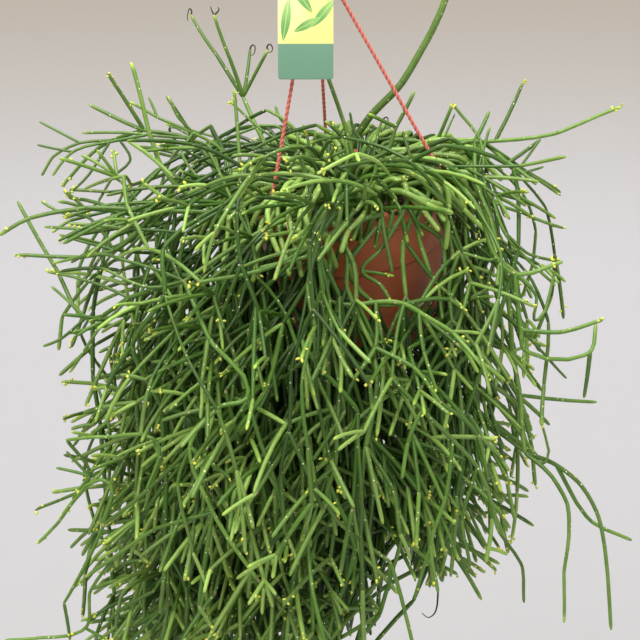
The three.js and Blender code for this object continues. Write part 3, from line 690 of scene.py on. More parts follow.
def makeLabel():
    length = label["above"] + label["below"]
    flat = bpy.data.curves.new("labelOutline", "CURVE")
    flat.dimensions, flat.fill_mode = "2D", "BOTH"
    flat.extrude, flat.bevel_depth, flat.bevel_resolution = label["thickness"] / 2 - 0.12, 0.12, 2
    outer = roundedOutline(label["width"] - 0.24, length - 0.24, label["corner"])
    slotMiddle = length / 2 - label["above"]
    slot = [(x, y + slotMiddle) for x, y in
            roundedOutline(label["slotWidth"] + 0.24, label["slotLength"] + 0.24, label["slotWidth"] / 2, 10)]
    for outline, shift in ((outer, label["middle"]), (slot, 0)):
        spline = flat.splines.new("POLY")
        spline.points.add(len(outline) - 1)
        spline.use_cyclic_u = True
        for point, (x, y) in zip(spline.points, outline):
            point.co = (x + shift, y, 0, 1)
    shell = show(bpy.data.objects.new("labelOutline", flat))
    bpy.context.view_layer.update()
    mesh = bpy.data.meshes.new_from_object(shell.evaluated_get(bpy.context.evaluated_depsgraph_get()))
    bpy.data.objects.remove(shell)
    shape = bmesh.new()
    shape.from_mesh(mesh)
    for k in range(1, label["rows"]):
        height = length / 2 - k * length / label["rows"]
        everything = shape.verts[:] + shape.edges[:] + shape.faces[:]
        bmesh.ops.bisect_plane(shape, geom=everything, plane_co=(0, height, 0), plane_no=(0, 1, 0))
    bmesh.ops.remove_doubles(shape, verts=shape.verts[:], dist=0.01)
    shape.verts.index_update()
    line = labelLine()
    points, across, up, front = [], [], [], []
    for vert in shape.verts:
        x, v, out = vert.co
        at = min(max((length / 2 - v) / length * label["rows"], 0), label["rows"] - 1e-6)
        (y0, z0, t0), (y1, z1, t1) = line[int(at)], line[int(at) + 1]
        share = at - int(at)
        c, s = wave(t0 + (t1 - t0) * share)
        y, z = y0 + (y1 - y0) * share, z0 + (z1 - z0) * share
        points.append((x, y - c * out, z + s * out + label["holeHeight"]))
        across.append(x - label["middle"])
        up.append(v + length / 2)
        front.append(1.0 if out > 0 else 0.0)
    faces = [[vert.index for vert in face.verts] for face in shape.faces]
    shape.free()
    piece = makePiece("labelCard", points, faces, [skins["label"]], ["label"])
    piece.data.set_sharp_from_angle(angle=math.radians(40))
    for name, values in (("labelAcross", across), ("labelUp", up), ("labelFront", front)):
        addValues(piece, name, values)


makeLabel()
print("hook and label made")


# Pot: a thin wall under a rolled band, with a seam half way down and holes in its floor
def makePot():
    seamOut, floor = wallAt(-pot["seam"]), pot["wall"] - pot["height"]
    foot, low, band = pot["wallFoot"], -pot["height"], -pot["bandHeight"]
    rim, mouth = pot["rimRadius"], pot["mouth"]
    profile = fillet([
        (0, low + 1.2), (24, low + 1.2), (26, low), (foot - 0.4, low), (foot + 0.2, low + 1.6),
        (seamOut - pot["seamStep"], -pot["seam"] - 0.6), (seamOut, -pot["seam"]),
        (pot["wallTop"] - 0.3, band - 0.6), (rim - 0.6, band - 0.2), (rim - 0.1, band + 1.6), (rim - 0.5, -6),
        (rim, -2.4), (rim - 0.4, 0), (mouth + 1.2, 0), (mouth, -1.6), (mouth, band),
        (foot - pot["wall"], floor), (0, floor),
    ], 0.9)
    points, faces = lathe(profile, pot["sides"])
    piece = makePiece("potShell", toWorld(points), faces, [skins["pot"]], ["pot"])
    drains = [(k + 0.5) * 360 / pot["drains"] for k in range(pot["drains"])]
    cutters = []
    for angles, ring, under, over, radius in (
            (drains, pot["drainRing"], low - 2, floor + 2, pot["drainRadius"]),
            (cordAngles.values(), cord["lipRing"], band - 3, 3, cord["radius"] + 0.3)):
        for c, s in map(wave, angles):
            cutters.append(([(ring * c, ring * s, under), (ring * c, ring * s, over)], radius))
    pins = joined([tube(toWorld(path), lambda t, r=radius: r, 20) for path, radius in cutters])
    holes = makeShape("potHoles", *pins, [], False)
    cut = piece.modifiers.new("holes", "BOOLEAN")
    cut.operation, cut.solver, cut.object = "DIFFERENCE", "EXACT", holes
    bpy.context.view_layer.update()
    done = bpy.data.meshes.new_from_object(piece.evaluated_get(bpy.context.evaluated_depsgraph_get()))
    piece.modifiers.clear()
    piece.data = done
    piece.data.set_sharp_from_angle(angle=math.radians(35))
    bpy.data.objects.remove(holes)


makePot()


# Soil: a lumpy top with bark chips and grit on it
def soilHeight(x, y):
    ring = math.sqrt(x * x + y * y) / pot["mouth"]
    lump = noise.noise(Vector((x / 17, y / 17, 3.1))) * 1.6 + noise.noise(Vector((x / 5, y / 5, 7.7))) * 0.8
    return -soil["depth"] + soil["crumb"] * (1 - ring ** 4) - 1.5 + lump


def makeSoil():
    draw = makeDice(soil["seed"])
    points, faces = [(0, 0, soilHeight(0, 0))], []
    sides = soil["sides"]
    edge, base = pot["mouth"] - 0.4, pot["wallFoot"] - pot["wall"] - 0.3
    for i in range(1, soil["rings"] + 1):
        points += [(x, y, soilHeight(x, y)) for x, y, _ in ringOf(edge * i / soil["rings"], 0, sides)]
    points += ringOf(edge, -pot["bandHeight"] - 2, sides) + ringOf(base, 2.1 - pot["height"], sides)
    for i in range(soil["rings"] + 1):
        faces += bridge(1 + (i + 1) * sides, 1 + i * sides, sides)
    faces += [[0, 1 + k, 1 + (k + 1) % sides] for k in range(sides)]
    faces.append([len(points) - 1 - k for k in range(sides)])
    makePiece("soilTop", toWorld(points), faces, [skins["soil"]], ["soil"])
    makeChips(draw)


def makeChips(draw):
    cube = [(x, y, z) for x in (-1, 1) for y in (-1, 1) for z in (-1, 1)]
    quads = [[0, 1, 3, 2], [4, 6, 7, 5], [0, 4, 5, 1], [2, 3, 7, 6], [0, 2, 6, 4], [1, 5, 7, 3]]
    parts, tones = [], []
    for k in range(soil["chips"] + soil["grit"]):
        grit = k >= soil["chips"]
        ring, angle = (pot["mouth"] - 5) * math.sqrt(draw((0, 1))), draw((0, 360))
        c, s = wave(angle)
        x, y = ring * c, ring * s
        half = (draw((0.7, 1.6)),) * 3 if grit else (draw((2.5, 6)), draw((1.2, 3)), draw((0.6, 1.4)))
        turn = Matrix.Rotation(math.radians(draw((0, 360))), 3, "Z")
        turn = turn @ Matrix.Rotation(math.radians(draw((-28, 28))), 3, "X")
        base = Vector((x, y, soilHeight(x, y) + half[2] * 0.3))
        corners = []
        for corner in cube:
            rough = [corner[i] * half[i] * draw((0.6, 1.05)) for i in range(3)]
            corners.append(tuple(base + turn @ Vector(rough)))
        parts.append((corners, quads))
        tones += [draw((0.75, 1)) if grit else draw((0, 0.7))] * 8
    points, faces = joined(parts)
    piece = makePiece("barkChips", toWorld(points), faces, [skins["chip"]], smooth=False)
    addValues(piece, "chipTone", tones)
    bevel = piece.modifiers.new("wornEdges", "BEVEL")
    bevel.width, bevel.segments = 0.0004, 2


makeSoil()
print("pot and soil made")

# Growth: the same sprays as the solids, then finer limbs on them
stem = {"corner": 1.15, "depth": 8, "rise": (17, 23), "singleRise": 12, "crestRise": 21, "crestRing": 76,
        "singleYouth": 0.55}
thickness = {"main": (2.1, 1.75), "limb": (1.2, 1.7)}
foliage = {
    "ring": (129, -30, -22), "foot": (-265, 42, -20), "under": 40, "top": (42, -12, -12), "waistTop": -170,
    "waistSlope": 0.25, "bay": 0, "proud": 3,
    "notch": {"from": 382, "x": 398, "y": 600, "wide": 15, "rise": 62},
}
clearing = {"x": 387, "y": 257, "wide": 56, "high": 46, "near": 20, "angle": 300, "spread": 40}
growth = {
    "seed": 11, "cell": 30, "gap": 0.5, "rootGap": 1.5, "rootRadius": 3.2, "joint": 4, "shootRadius": 2.2,
    "turns": 24, "rootTries": 40, "tries": 16, "step": (36, 50), "crownStep": (24, 34), "crestStep": 34,
    "swing": (3, 8), "loose": 6, "crownLoose": 3, "crestLoose": 0.4, "room": 26, "fanRoom": 60, "least": 4,
    "looser": 6, "closeRing": 100, "leanRing": 78, "leanDepth": 110, "pad": 8, "potGap": 0.6, "potStep": 3,
    "mouthDepth": 9, "turn": (-10, 10), "rootTurn": (-12, 12),
}
# Room kept for the cords, the hook and the label: where each lies, and its radius at the end
keptFree = {
    "cord": (68, -6, 1.8), "hook": (20, 7), "labelSides": (-12, 0, 12), "label": (5, -30, -22, -128, 7),
}
branching = {
    "share": 0.8, "atTip": 2, "from": 3, "chain": 4, "apart": 40,
    "first": {"tilt": (26, 46), "fall": 0.15, "outward": 0.25, "reach": (30, 46), "radius": 1.8, "room": 26,
              "tries": 8},
    "next": {"tilt": (10, 30), "fall": 0.2, "outward": 0, "reach": (24, 40), "radius": 1.7, "room": 36,
               "tries": 6},
}
families = [
    {"kind": "innerFall", "arc": (200, 420), "count": 7, "reach": (0.5, 0.56), "crest": (5, 8),
     "low": (-10, 25), "root": (46, 56)},
    {"kind": "crown", "arc": (200, 520), "count": 4, "reach": (0, 0), "crest": (16, 26), "low": (6, 16),
     "root": (8, 26)},
    {"kind": "midFall", "arc": (112, 436), "count": 11, "reach": (0.66, 0.8), "crest": (9, 17),
     "low": (-15, 20), "root": (36, 54)},
    {"kind": "outerFall", "arc": (100, 445), "count": 14, "reach": (0.9, 1.04), "crest": (15, 30),
     "low": (-25, 25), "root": (22, 50)},
    {"kind": "fan", "arc": (146, 226), "count": 5, "reach": (1.05, 1.2), "crest": (10, 36), "low": (-40, 10),
     "root": (14, 44)},
]
# Shoots that show singly: root and crest as angle, radius or height, then each limb's radii and points in
# view pixels and millimetres nearer the eye than the rim's middle
singleShoots = {
    "tallShoot": {"root": (150, 14), "limbs": [
        ((3.4, 1.9), [(342, 163, -4), (369, 118, 0), (401, 84, 6), (422, 49, 12), (438, 18, 18),
                      (449, -12, 24)])]},
    "crownShoots": {"root": (250, 20), "limbs": [
        ((2.3, 1.7), [(352, 162, 22), (349, 139, 24), (317, 43, 38)]),
        ((2.2, 1.6), [(352, 162, 22), (387, 151, 28), (396, 127, 30), (414, 92, 34)]),
        ((1.8, 1.5), [(396, 127, 30), (369, 114, 38)])]},
    "rightReach": {"root": (20, 34), "limbs": [
        ((2.4, 1.6), [(381, 147, -18), (436, 143, -16), (495, 141, -14), (557, 133, -12), (621, 107, -10)]),
        ((2, 1.5), [(495, 141, -14), (523, 82, -22)]),
        ((1.8, 1.5), [(436, 143, -16), (453, 103, -8)])]},
    "rightTop": {"root": (345, 44), "limbs": [
        ((2.3, 1.7), [(418, 170, 20), (475, 141, 24), (508, 163, 30), (536, 184, 36)]),
        ((2, 1.6), [(475, 141, 24), (489, 112, 16)]),
        ((2, 1.6), [(475, 141, 24), (477, 184, 44), (490, 217, 52), (499, 252, 56)]),
        ((1.8, 1.5), [(508, 163, 30), (540, 140, 20)]),
        ((1.8, 1.5), [(508, 163, 30), (560, 192, 14)])]},
    "leftTop": {"root": (150, 40), "limbs": [
        ((2.4, 1.9), [(273, 157, -20), (243, 97, -26)]),
        ((2, 1.4), [(243, 97, -26), (216, 54, -30), (191, 15, -34)]),
        ((2, 1.4), [(243, 97, -26), (228, 54, -16), (214, 15, -8)]),
        ((1.8, 1.4), [(243, 97, -26), (250, 50, -40)]),
        ((1.8, 1.4), [(243, 97, -26), (268, 50, -16)])]},
    "leftArch": {"root": (188, 40), "crest": (185, 9), "limbs": [
        ((2.4, 1.7), [(196, 143, 4), (144, 130, 2), (90, 105, 0)]),
        ((2, 1.6), [(144, 130, 2), (108, 74, 10)]),
        ((1.8, 1.5), [(196, 143, 4), (167, 97, 14)]),
        ((1.8, 1.5), [(144, 130, 2), (96, 150, -12), (62, 186, -16)])]},
    "leftShoot": {"root": (210, 44), "crest": (204, 9), "limbs": [
        ((2.5, 1.8), [(206, 204, 38), (162, 167, 40), (131, 63, 44)]),
        ((2, 1.6), [(162, 167, 40), (106, 229, 52)])]},
    "leftReach": {"root": (230, 46), "crest": (229, 9), "limbs": [
        ((2.5, 1.6), [(239, 212, 52), (158, 210, 62), (86, 208, 64), (31, 218, 66), (0, 235, 66)]),
        ((2, 1.5), [(158, 210, 62), (114, 250, 66), (16, 255, 64)])]},
    "leftMid": {"root": (246, 50), "crest": (243, 8), "limbs": [
        ((2.4, 1.7), [(251, 237, 82), (184, 281, 92)]),
        ((2, 1.6), [(251, 237, 82), (259, 276, 90)]),
        ((2, 1.6), [(184, 281, 92), (129, 298, 80), (86, 318, 66), (55, 267, 54), (18, 202, 48)])]},
    "potLeft": {"root": (262, 44), "crest": (261, 7), "limbs": [
        ((2.6, 2), [(340, 237, 82), (353, 262, 90), (356, 300, 96)]),
        ((2, 1.7), [(340, 237, 82), (308, 256, 88), (260, 268, 98)])]},
    "potMiddle": {"root": (284, 42), "crest": (281, 7), "limbs": [
        ((2.7, 2), [(364, 240, 64), (349, 262, 66), (375, 303, 70), (404, 304, 74), (446, 332, 80)]),
        ((2, 1.6), [(375, 303, 70), (352, 309, 80), (376, 345, 88)])]},
    "potRight": {"root": (306, 46), "crest": (305, 7), "limbs": [
        ((2.6, 1.9), [(404, 240, 62), (406, 297, 66)]),
        ((2, 1.6), [(404, 240, 62), (439, 286, 64)])]},
    "rightMid": {"root": (330, 50), "crest": (328, 8), "limbs": [
        ((2.4, 1.8), [(481, 214, 58), (497, 258, 66), (515, 274, 66), (562, 262, 62)]),
        ((2, 1.6), [(515, 274, 66), (521, 330, 66), (524, 349, 64), (590, 352, 56), (596, 325, 52)]),
        ((2, 1.5), [(590, 352, 56), (584, 397, 54)]),
        ((2, 1.6), [(521, 330, 66), (561, 332, 70), (602, 320, 70)])]},
    "rightDroop": {"root": (350, 50), "crest": (348, 9), "limbs": [
        ((2.6, 1.9), [(489, 226, 18), (506, 290, 18), (512, 350, 20), (520, 395, 22), (522, 430, 24),
                      (525, 453, 24)]),
        ((2, 1.6), [(525, 453, 24), (556, 465, 26), (579, 483, 28), (597, 513, 28), (604, 543, 28),
                    (611, 629, 28)]),
        ((1.9, 1.4), [(525, 453, 24), (553, 478, 34), (567, 503, 38), (569, 533, 40), (564, 573, 40),
                      (564, 622, 40)]),
        ((1.9, 1.5), [(556, 465, 26), (591, 521, 14), (631, 540, 12)]),
        ((1.8, 1.5), [(520, 395, 22), (596, 402, 14)])]},
}
otherNodes = {"pot", "soil", "hook", "label", *cordAngles}
limbs = []
cells = {}


def axisGap(a, b, c, d):  # the distance between two straight stretches
    u, v, w = minus(b, a), minus(d, c), minus(a, c)
    uu, vv, uv, uw, vw = dot(u, u), dot(v, v), dot(u, v), dot(u, w), dot(v, w)
    spread = uu * vv - uv * uv
    s = min(1, max(0, (uv * vw - uw * vv) / spread)) if spread > 1e-6 else 0
    t = (uv * s + vw) / vv
    if t < 0:
        s, t = min(1, max(0, -uw / uu)), 0
    elif t > 1:
        s, t = min(1, max(0, (uv - uw) / uu)), 1
    return size(minus(plus(a, u, s), plus(c, v, t)))


def cellsAround(a, b, pad):
    spans = []
    for p, q in zip(a, b):
        low = math.floor((min(p, q) - pad) / growth["cell"])
        spans.append(range(low, math.floor((max(p, q) + pad) / growth["cell"]) + 1))
    return [(x, y, z) for x in spans[0] for y in spans[1] for z in spans[2]]


def occupy(a, b, radius, owner):
    for cell in cellsAround(a, b, 0):
        cells.setdefault(cell, []).append((a, b, radius, owner))


def isFree(a, b, radius, owner, gap):
    for cell in cellsAround(a, b, growth["pad"]):
        for start, end, other, who in cells.get(cell, ()):
            if who == owner and min(size(minus(start, a)), size(minus(end, a))) < growth["joint"]:
                continue
            if axisGap(a, b, start, end) < (radius + other) * stem["corner"] + gap:
                return False
    return True


def isClearOfPot(a, b, radius):
    steps = max(2, math.floor(size(minus(b, a)) / growth["potStep"]))
    reach = radius * stem["corner"] + growth["potGap"]
    for i in range(steps + 1):
        p = minus(plus(a, minus(b, a), i / steps), pot["rimCentre"])
        height, across, back = dot(p, potUp), dot(p, potRight), dot(p, potBack)
        ring = math.sqrt(across * across + back * back)
        beside = -pot["height"] - reach <= height <= reach
        inMouth = height > -soil["depth"] - growth["mouthDepth"] and ring < pot["mouth"] - reach
        wall = pot["rimRadius"] if height > -pot["bandHeight"] - reach else wallAt(height)
        if beside and not inMouth and ring < wall + reach:
            return False
    return True


def isClearOfView(a, b):
    for i in range(5):
        x, y, near = project(plus(a, minus(b, a), i / 4))
        across, down = (x - clearing["x"]) / clearing["wide"], (y - clearing["y"]) / clearing["high"]
        if near > clearing["near"] and across * across + down * down < 1:
            return False
    return True


def roundOff(shape, angle):
    c, s = wave(angle)
    return shape[0] + shape[1] * c + shape[2] * s


def place(ring, height, angle):
    c, s = wave(angle)
    lean = -(potUp[0] * c + potUp[1] * s) / potUp[2]
    lift = lean * min(ring, growth["leanRing"]) * max(0, 1 + min(height, 0) / growth["leanDepth"])
    return plus(pot["rimCentre"], (ring * c, ring * s, height + lift))


def isInBox(p):
    low, high = cadBox
    proud = foliage["proud"]
    return all(low[i] / metre - proud < p[i] < high[i] / metre + proud for i in range(3))


def isInNotch(p):  # the bay between the two lower ends of the foliage
    x, y, near = project(p)
    notch = foliage["notch"]
    rise = notch["rise"] * math.exp(-((x - notch["x"]) / notch["wide"]) ** 2)
    return x > notch["from"] and y > notch["y"] - rise


def isInside(p, room):
    x, y, height = minus(p, pot["rimCentre"])
    angle = math.degrees(math.atan2(y, x))
    waist = max(0, (foliage["waistTop"] - height) * foliage["waistSlope"]) if x > 0 else 0
    ring = math.sqrt(x * x + y * y)
    low = roundOff(foliage["foot"], angle) - foliage["under"]
    top, reach = roundOff(foliage["top"], angle), roundOff(foliage["ring"], angle) + room - waist
    if foliage["bay"]:
        deep = foliage["bay"] * (1 + wave(3 * angle + 0.9 * height)[1] * wave(5 * angle - 1.3 * height)[0])
        top, reach = top - deep * 0.9, reach - deep * 0.6
        if not isInBox(p) or isInNotch(p):
            return False
    return low < height < top and ring < reach


def fits(a, b, radius, owner, room, gap):
    return (isInside(b, room) and isClearOfView(a, b) and isClearOfPot(a, b, radius)
            and isFree(a, b, radius, owner, gap))


def turned(axis, tilt, spin):
    side = unit(cross(axis, sideHint if abs(axis[2]) < 0.8 else otherHint))
    (ct, st), (cs, ss) = wave(tilt), wave(spin)
    return plus(times(axis, ct), plus(times(side, st * cs), cross(axis, side), st * ss))


def layLimb(owner, thick, points, youth=0.45, kind="solid"):
    for a, b in zip(points, points[1:]):
        occupy(a, b, max(thick), owner)
    limbs.append({"owner": owner, "thick": thick, "points": points, "youth": youth, "kind": kind})


def laySingle(name, single):
    start = []
    if "root" in single:
        angle, ring = single["root"]
        foot = onPot(ring, angle, -soil["depth"] - stem["depth"])
        start = [foot, plus(foot, potUp, stem["crestRise"] if "crest" in single else stem["singleRise"])]
    if "crest" in single:
        start.append(onPot(stem["crestRing"], *single["crest"]))
    for k, (thick, points) in enumerate(single["limbs"]):
        way = [seen(point) for point in points]
        layLimb(name, thick, start + way if k == 0 else way, stem["singleYouth"], "single")


# The way a spray runs, as radius, height and angle round the pot: over the rim, then down outside it
guideForm = {
    "start": 4, "crownStart": 2, "crownRings": (0, 16, 44, 74), "crownRise": 4,
    "least": 81, "leastSwing": 6, "leastFrom": 49, "wideFrom": 90, "over": 76, "overWide": 78,
    "overShare": 0.66, "shoulder": 0.93, "falls": (12, 38), "upper": -60, "middle": -90, "lower": -160,
    "innerRing": 56, "last": 0.94, "lastSwing": 0.06,
}


def makeGuide(family, angle, rootRing, draw):
    g = guideForm
    least = g["least"] + g["leastSwing"] * wave(angle - g["leastFrom"])[0]
    reach = max(roundOff(foliage["ring"], angle) * draw(family["reach"]), least)
    crest, low = draw(family["crest"]), draw(family["low"])
    if family["kind"] == "crown":
        heights = (g["crownStart"], crest, crest + g["crownRise"], low)
        return [(rootRing + ring, height, angle) for ring, height in zip(g["crownRings"], heights)]
    off = (angle + 540 - clearing["angle"]) % 360 - 180
    aside = max(0, clearing["spread"] - abs(off)) * (1 if off > 0 else -1)
    isWide = reach > g["wideFrom"]
    over = min(g["overWide"], reach * g["overShare"]) if reach >= g["wideFrom"] else g["over"]
    guide = [(rootRing, g["start"], angle), (over, crest, angle + aside * 0.5)]
    if family["kind"] == "fan":
        return guide + [(reach, low, angle)]
    guide += [(reach * g["shoulder"] if isWide else reach, crest - g["falls"][0], angle + aside * 0.8),
              (reach, crest - g["falls"][1], angle + aside), (reach + 2, g["upper"], angle + aside * 0.5)]
    end = roundOff(foliage["foot"], angle) + low
    if family["kind"] == "innerFall":
        return guide + [(reach - 2, g["middle"], angle), (g["innerRing"], end, angle)]
    last = reach * (g["last"] - g["lastSwing"] * wave(angle)[0])
    return guide + [(reach + 4, g["middle"], angle), (reach + 2, g["lower"], angle), (last, end, angle)]


def stretchOf(a, b):
    return math.sqrt((b[0] - a[0]) * (b[0] - a[0]) + (b[1] - a[1]) * (b[1] - a[1]))


def along(guide, length):
    for a, b in zip(guide, guide[1:]):
        span = stretchOf(a, b)
        if length <= span:
            return [a[i] + (b[i] - a[i]) * length / span for i in range(3)]
        length -= span
    return None


def findRoot(name, family, angle, draw):
    for attempt in range(growth["rootTries"]):
        ring = draw(family["root"])
        foot = onPot(ring, angle + draw(growth["rootTurn"]), -soil["depth"] - stem["depth"])
        up = plus(foot, potUp, draw(stem["rise"]))
        if isFree(foot, up, growth["rootRadius"], name, growth["rootGap"]):
            return ring, [foot, up]
    return None


def nextPoint(name, family, guide, points, length, swing, draw, gap):
    crown = family["kind"] == "crown"
    n = len(points) - 2
    step = draw(growth["crownStep"] if crown else growth["step"])
    if n == 0 and not crown:
        step = stretchOf(guide[0], guide[1]) - 0.01
    if n == 1 and guide[2][0] < growth["closeRing"]:
        step = min(step, growth["crestStep"])
    goal = along(guide, length + step)
    for attempt in range(growth["tries"] if goal else 0):
        share = (1 + attempt / growth["looser"]) * (growth["crestLoose"] if n < 2 and not crown else 1)
        loose = (growth["crownLoose"] if crown else growth["loose"]) * share
        ring = goal[0] + draw((-loose, loose))
        target = place(ring, goal[1] + draw((-loose, loose)), goal[2])
        aside = swing * (1 if n % 2 else -1) + draw((-loose, loose))
        c, s = wave(goal[2])
        end = plus(target, (-s, c, 0), aside)
        room = growth["fanRoom"] if family["kind"] == "fan" else growth["room"]
        if fits(points[-1], end, growth["shootRadius"], name, room, gap):
            return end, step
    return None


def growSpray(name, family, angle, draw, gap, youth=0.4):
    root = findRoot(name, family, angle, draw)
    if not root:
        return False
    ring, points = root
    guide = makeGuide(family, angle, ring, draw)
    swing = draw(growth["swing"]) * (-1 if draw((0, 1)) < 0.5 else 1)
    length = 0
    found = nextPoint(name, family, guide, points, length, swing, draw, gap)
    while found:
        points.append(found[0])
        length += found[1]
        found = nextPoint(name, family, guide, points, length, swing, draw, gap)
    if len(points) < growth["least"]:
        return False
    layLimb(name, thickness["main"], points, youth)
    branch(name, points, draw, gap, youth)
    return True


def shoot(name, start, axis, habit, draw, gap, spin=None):
    x, y, _ = minus(start, pot["rimCentre"])
    out = times(unit((x, y, 0)), habit["outward"])
    for attempt in range(habit["tries"]):
        tilt = draw(habit["tilt"])
        apart = branching["apart"]
        tipped = turned(axis, tilt, draw((0, 360)) if spin is None else spin + draw((-apart, apart)))
        way = unit(plus(plus(tipped, (0, 0, -1), habit["fall"]), out))
        end = plus(start, way, draw(habit["reach"]))
        if fits(plus(start, way, 3), end, habit["radius"], name, habit["room"], gap):
            return end, way
    return None


def branch(name, points, draw, gap, youth):
    for i in range(branching["from"], len(points)):
        axis = unit(minus(points[i], points[i - 1]))
        many = branching["atTip"]
        if i < len(points) - 1:
            many = 1 if draw((0, 1)) < branching["share"] else 0
        spin = draw((0, 360))
        for k in range(many):
            way = [points[i]]
            found = shoot(name, points[i], axis, branching["first"], draw, gap, spin + k * 360 / many)
            while found:
                way.append(found[0])
                full = len(way) > branching["chain"]
                found = None if full else shoot(name, found[0], found[1], branching["next"], draw, gap)
            if len(way) > 1:
                layLimb(name, thickness["limb"], way, youth + 0.1)


def growSolids():
    draw = makeDice(growth["seed"])
    ring, height, radius = keptFree["cord"]
    for angle in cordAngles.values():
        occupy(collar, onPot(ring, angle, height), radius, "cords")
    top, radius = keptFree["hook"]
    occupy((0, 0, top), collar, radius, "hook")
    y0, z0, y1, z1, radius = keptFree["label"]
    for x in keptFree["labelSides"]:
        occupy((label["middle"] + x, y0, z0), (label["middle"] + x, y1, z1), radius, "label")
    for name, single in singleShoots.items():
        laySingle(name, single)
    for family in families:
        first, last = family["arc"]
        for k in range(family["count"]):
            middle = first + (last - first) * (k + 0.5) / family["count"]
            name = f"{family['kind']}_{k + 1}"
            for turn in range(growth["turns"]):
                if growSpray(name, family, middle + draw(growth["turn"]), draw, growth["gap"]):
                    break


growSolids()
sprays = {limb["owner"] for limb in limbs}
print("solid sprays:", len(sprays), "stretches:", sum(len(limb["points"]) - 1 for limb in limbs),
      "names unlike the frame's:", len(sprays ^ (set(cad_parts) - otherNodes)))

# Finer growth, from draws of its own: more listed shoots, rods over the rim, shoots close to the pot, thin
# sprays between the solid ones, limbs that fill them out, strands inside, and whorls at the tips
finer = {
    "seed": 7, "gap": -0.9, "turns": 5, "stretches": 5600, "tries": 60000, "perJoint": 2, "chain": 3,
    "bay": 15, "tipMany": (1, 3.99),
    "counts": {"innerFall": 34, "crown": 8, "midFall": 24, "outerFall": 14, "fan": 5},
    "hang": {"tilt": (22, 68), "fall": 0.14, "outward": 0.14, "reach": (30, 54), "radius": 1.25, "room": -2,
             "tries": 3},
    "next": {"tilt": (6, 34), "fall": 0.3, "outward": 0, "reach": (28, 50), "radius": 1.5, "room": 6,
             "tries": 3},
    "stray": {"tilt": (24, 54), "fall": 0.1, "outward": 0.7, "reach": (32, 58), "radius": 1.3, "room": 44,
              "tries": 3},
    "whorl": {"tilt": (20, 46), "fall": 0.0, "outward": 0.1, "reach": (13, 30), "radius": 1.3, "room": 42,
              "tries": 3},
    "thin": (1.3, 1.14), "twig": (1.15, 1.05), "whorlShare": 0.3, "strayShare": 0.28,
    "thinned": {"x": 262, "y": 190, "keep": 0.5},
}
strands = {
    "tries": 9000, "most": 1700, "chain": 7, "share": 0.8, "low": -26,
    "habit": {"tilt": (0, 16), "fall": 0.5, "outward": -0.04, "reach": (38, 58), "radius": 1.4, "room": -16,
              "tries": 3},
    "thick": (1.65, 1.4), "youth": (0.0, 0.25), "gap": -0.9,
}
skirt = {
    "count": 300, "bareArc": (-40, 140), "bareShare": 0.5, "root": (44, 61), "crest": (1, 7), "over": 78,
    "ring": (76, 90), "step": (24, 40), "many": (2, 5.99), "side": 7, "thick": (2.2, 1.8),
    "youth": (0.15, 0.6), "gap": -3.4, "open": (276, 326), "taper": 0.06, "clear": 1.2,
}
rods = {
    "count": 1400, "most": 130, "root": (8, 61), "top": (3, 17), "over": (76, 88), "end": (84, 104),
    "low": (-34, 2), "thick": (2.1, 1.7), "off": 2.8, "spread": 38, "gap": -3.0, "pieces": 8, "bend": 4,
    "front": 0.5, "frontArc": (205, 345), "archWithin": 44, "room": 10, "slack": 0.8, "youth": (0.5, 1),
    "window": {"x": 394, "y": 257, "wide": 46, "high": 56},
}
# Thinner shoots in front of the pot, set as the single ones are
frontShoots = {
    "front_a": {"root": (272, 40), "crest": (270, 6), "limbs": [
        ((2.1, 1.8), [(346, 238, 76), (347, 264, 80), (347, 287, 84), (357, 313, 88), (373, 347, 94)]),
        ((1.9, 1.6), [(347, 264, 80), (377, 227, 74)]),
        ((1.7, 1.5), [(357, 313, 88), (345, 345, 98), (341, 372, 104)])]},
    "front_b": {"root": (284, 48), "crest": (285, 7), "limbs": [
        ((2.0, 1.7), [(382, 215, 70), (392, 272, 70)]),
        ((2.3, 2.2), [(382, 215, 70), (360, 222, 76), (352, 240, 80)])]},
    "front_c": {"root": (312, 44), "crest": (311, 8), "limbs": [
        ((2.2, 1.8), [(417, 222, 62), (430, 273, 62)]),
        ((2.0, 1.7), [(417, 222, 62), (440, 238, 58), (445, 273, 58)])]},
    "front_d": {"root": (322, 40), "crest": (321, 8), "limbs": [
        ((2.2, 1.8), [(446, 224, 50), (460, 251, 54), (470, 283, 58)]),
        ((1.8, 1.6), [(460, 251, 54), (449, 290, 62), (452, 320, 68)])]},
    "front_e": {"root": (262, 52), "crest": (263, 9), "limbs": [
        ((2.1, 1.7), [(310, 247, 86), (325, 262, 90), (322, 298, 96)]),
        ((1.9, 1.6), [(310, 247, 86), (262, 270, 98), (200, 282, 106)]),
        ((1.8, 1.5), [(322, 298, 96), (326, 340, 102), (315, 380, 106)])]},
    "front_f": {"root": (256, 44), "crest": (257, 9), "limbs": [
        ((2.0, 1.7), [(330, 262, 84), (331, 301, 90), (351, 305, 92), (376, 302, 94), (404, 304, 94),
                      (419, 312, 94), (453, 333, 96), (478, 372, 98)]),
        ((1.8, 1.5), [(376, 302, 94), (375, 347, 102), (353, 380, 108)]),
        ((1.7, 1.5), [(375, 347, 102), (413, 367, 108), (440, 402, 110)]),
        ((1.7, 1.5), [(419, 312, 94), (424, 352, 100), (436, 390, 104)]),
        ((1.6, 1.4), [(404, 304, 94), (396, 340, 100), (392, 378, 104)])]},
    "front_g": {"root": (300, 52), "crest": (298, 8), "limbs": [
        ((1.9, 1.7), [(380, 250, 68), (362, 271, 70), (380, 285, 72), (390, 300, 74)]),
        ((1.5, 1.3), [(362, 271, 70), (393, 276, 70)])]},
}
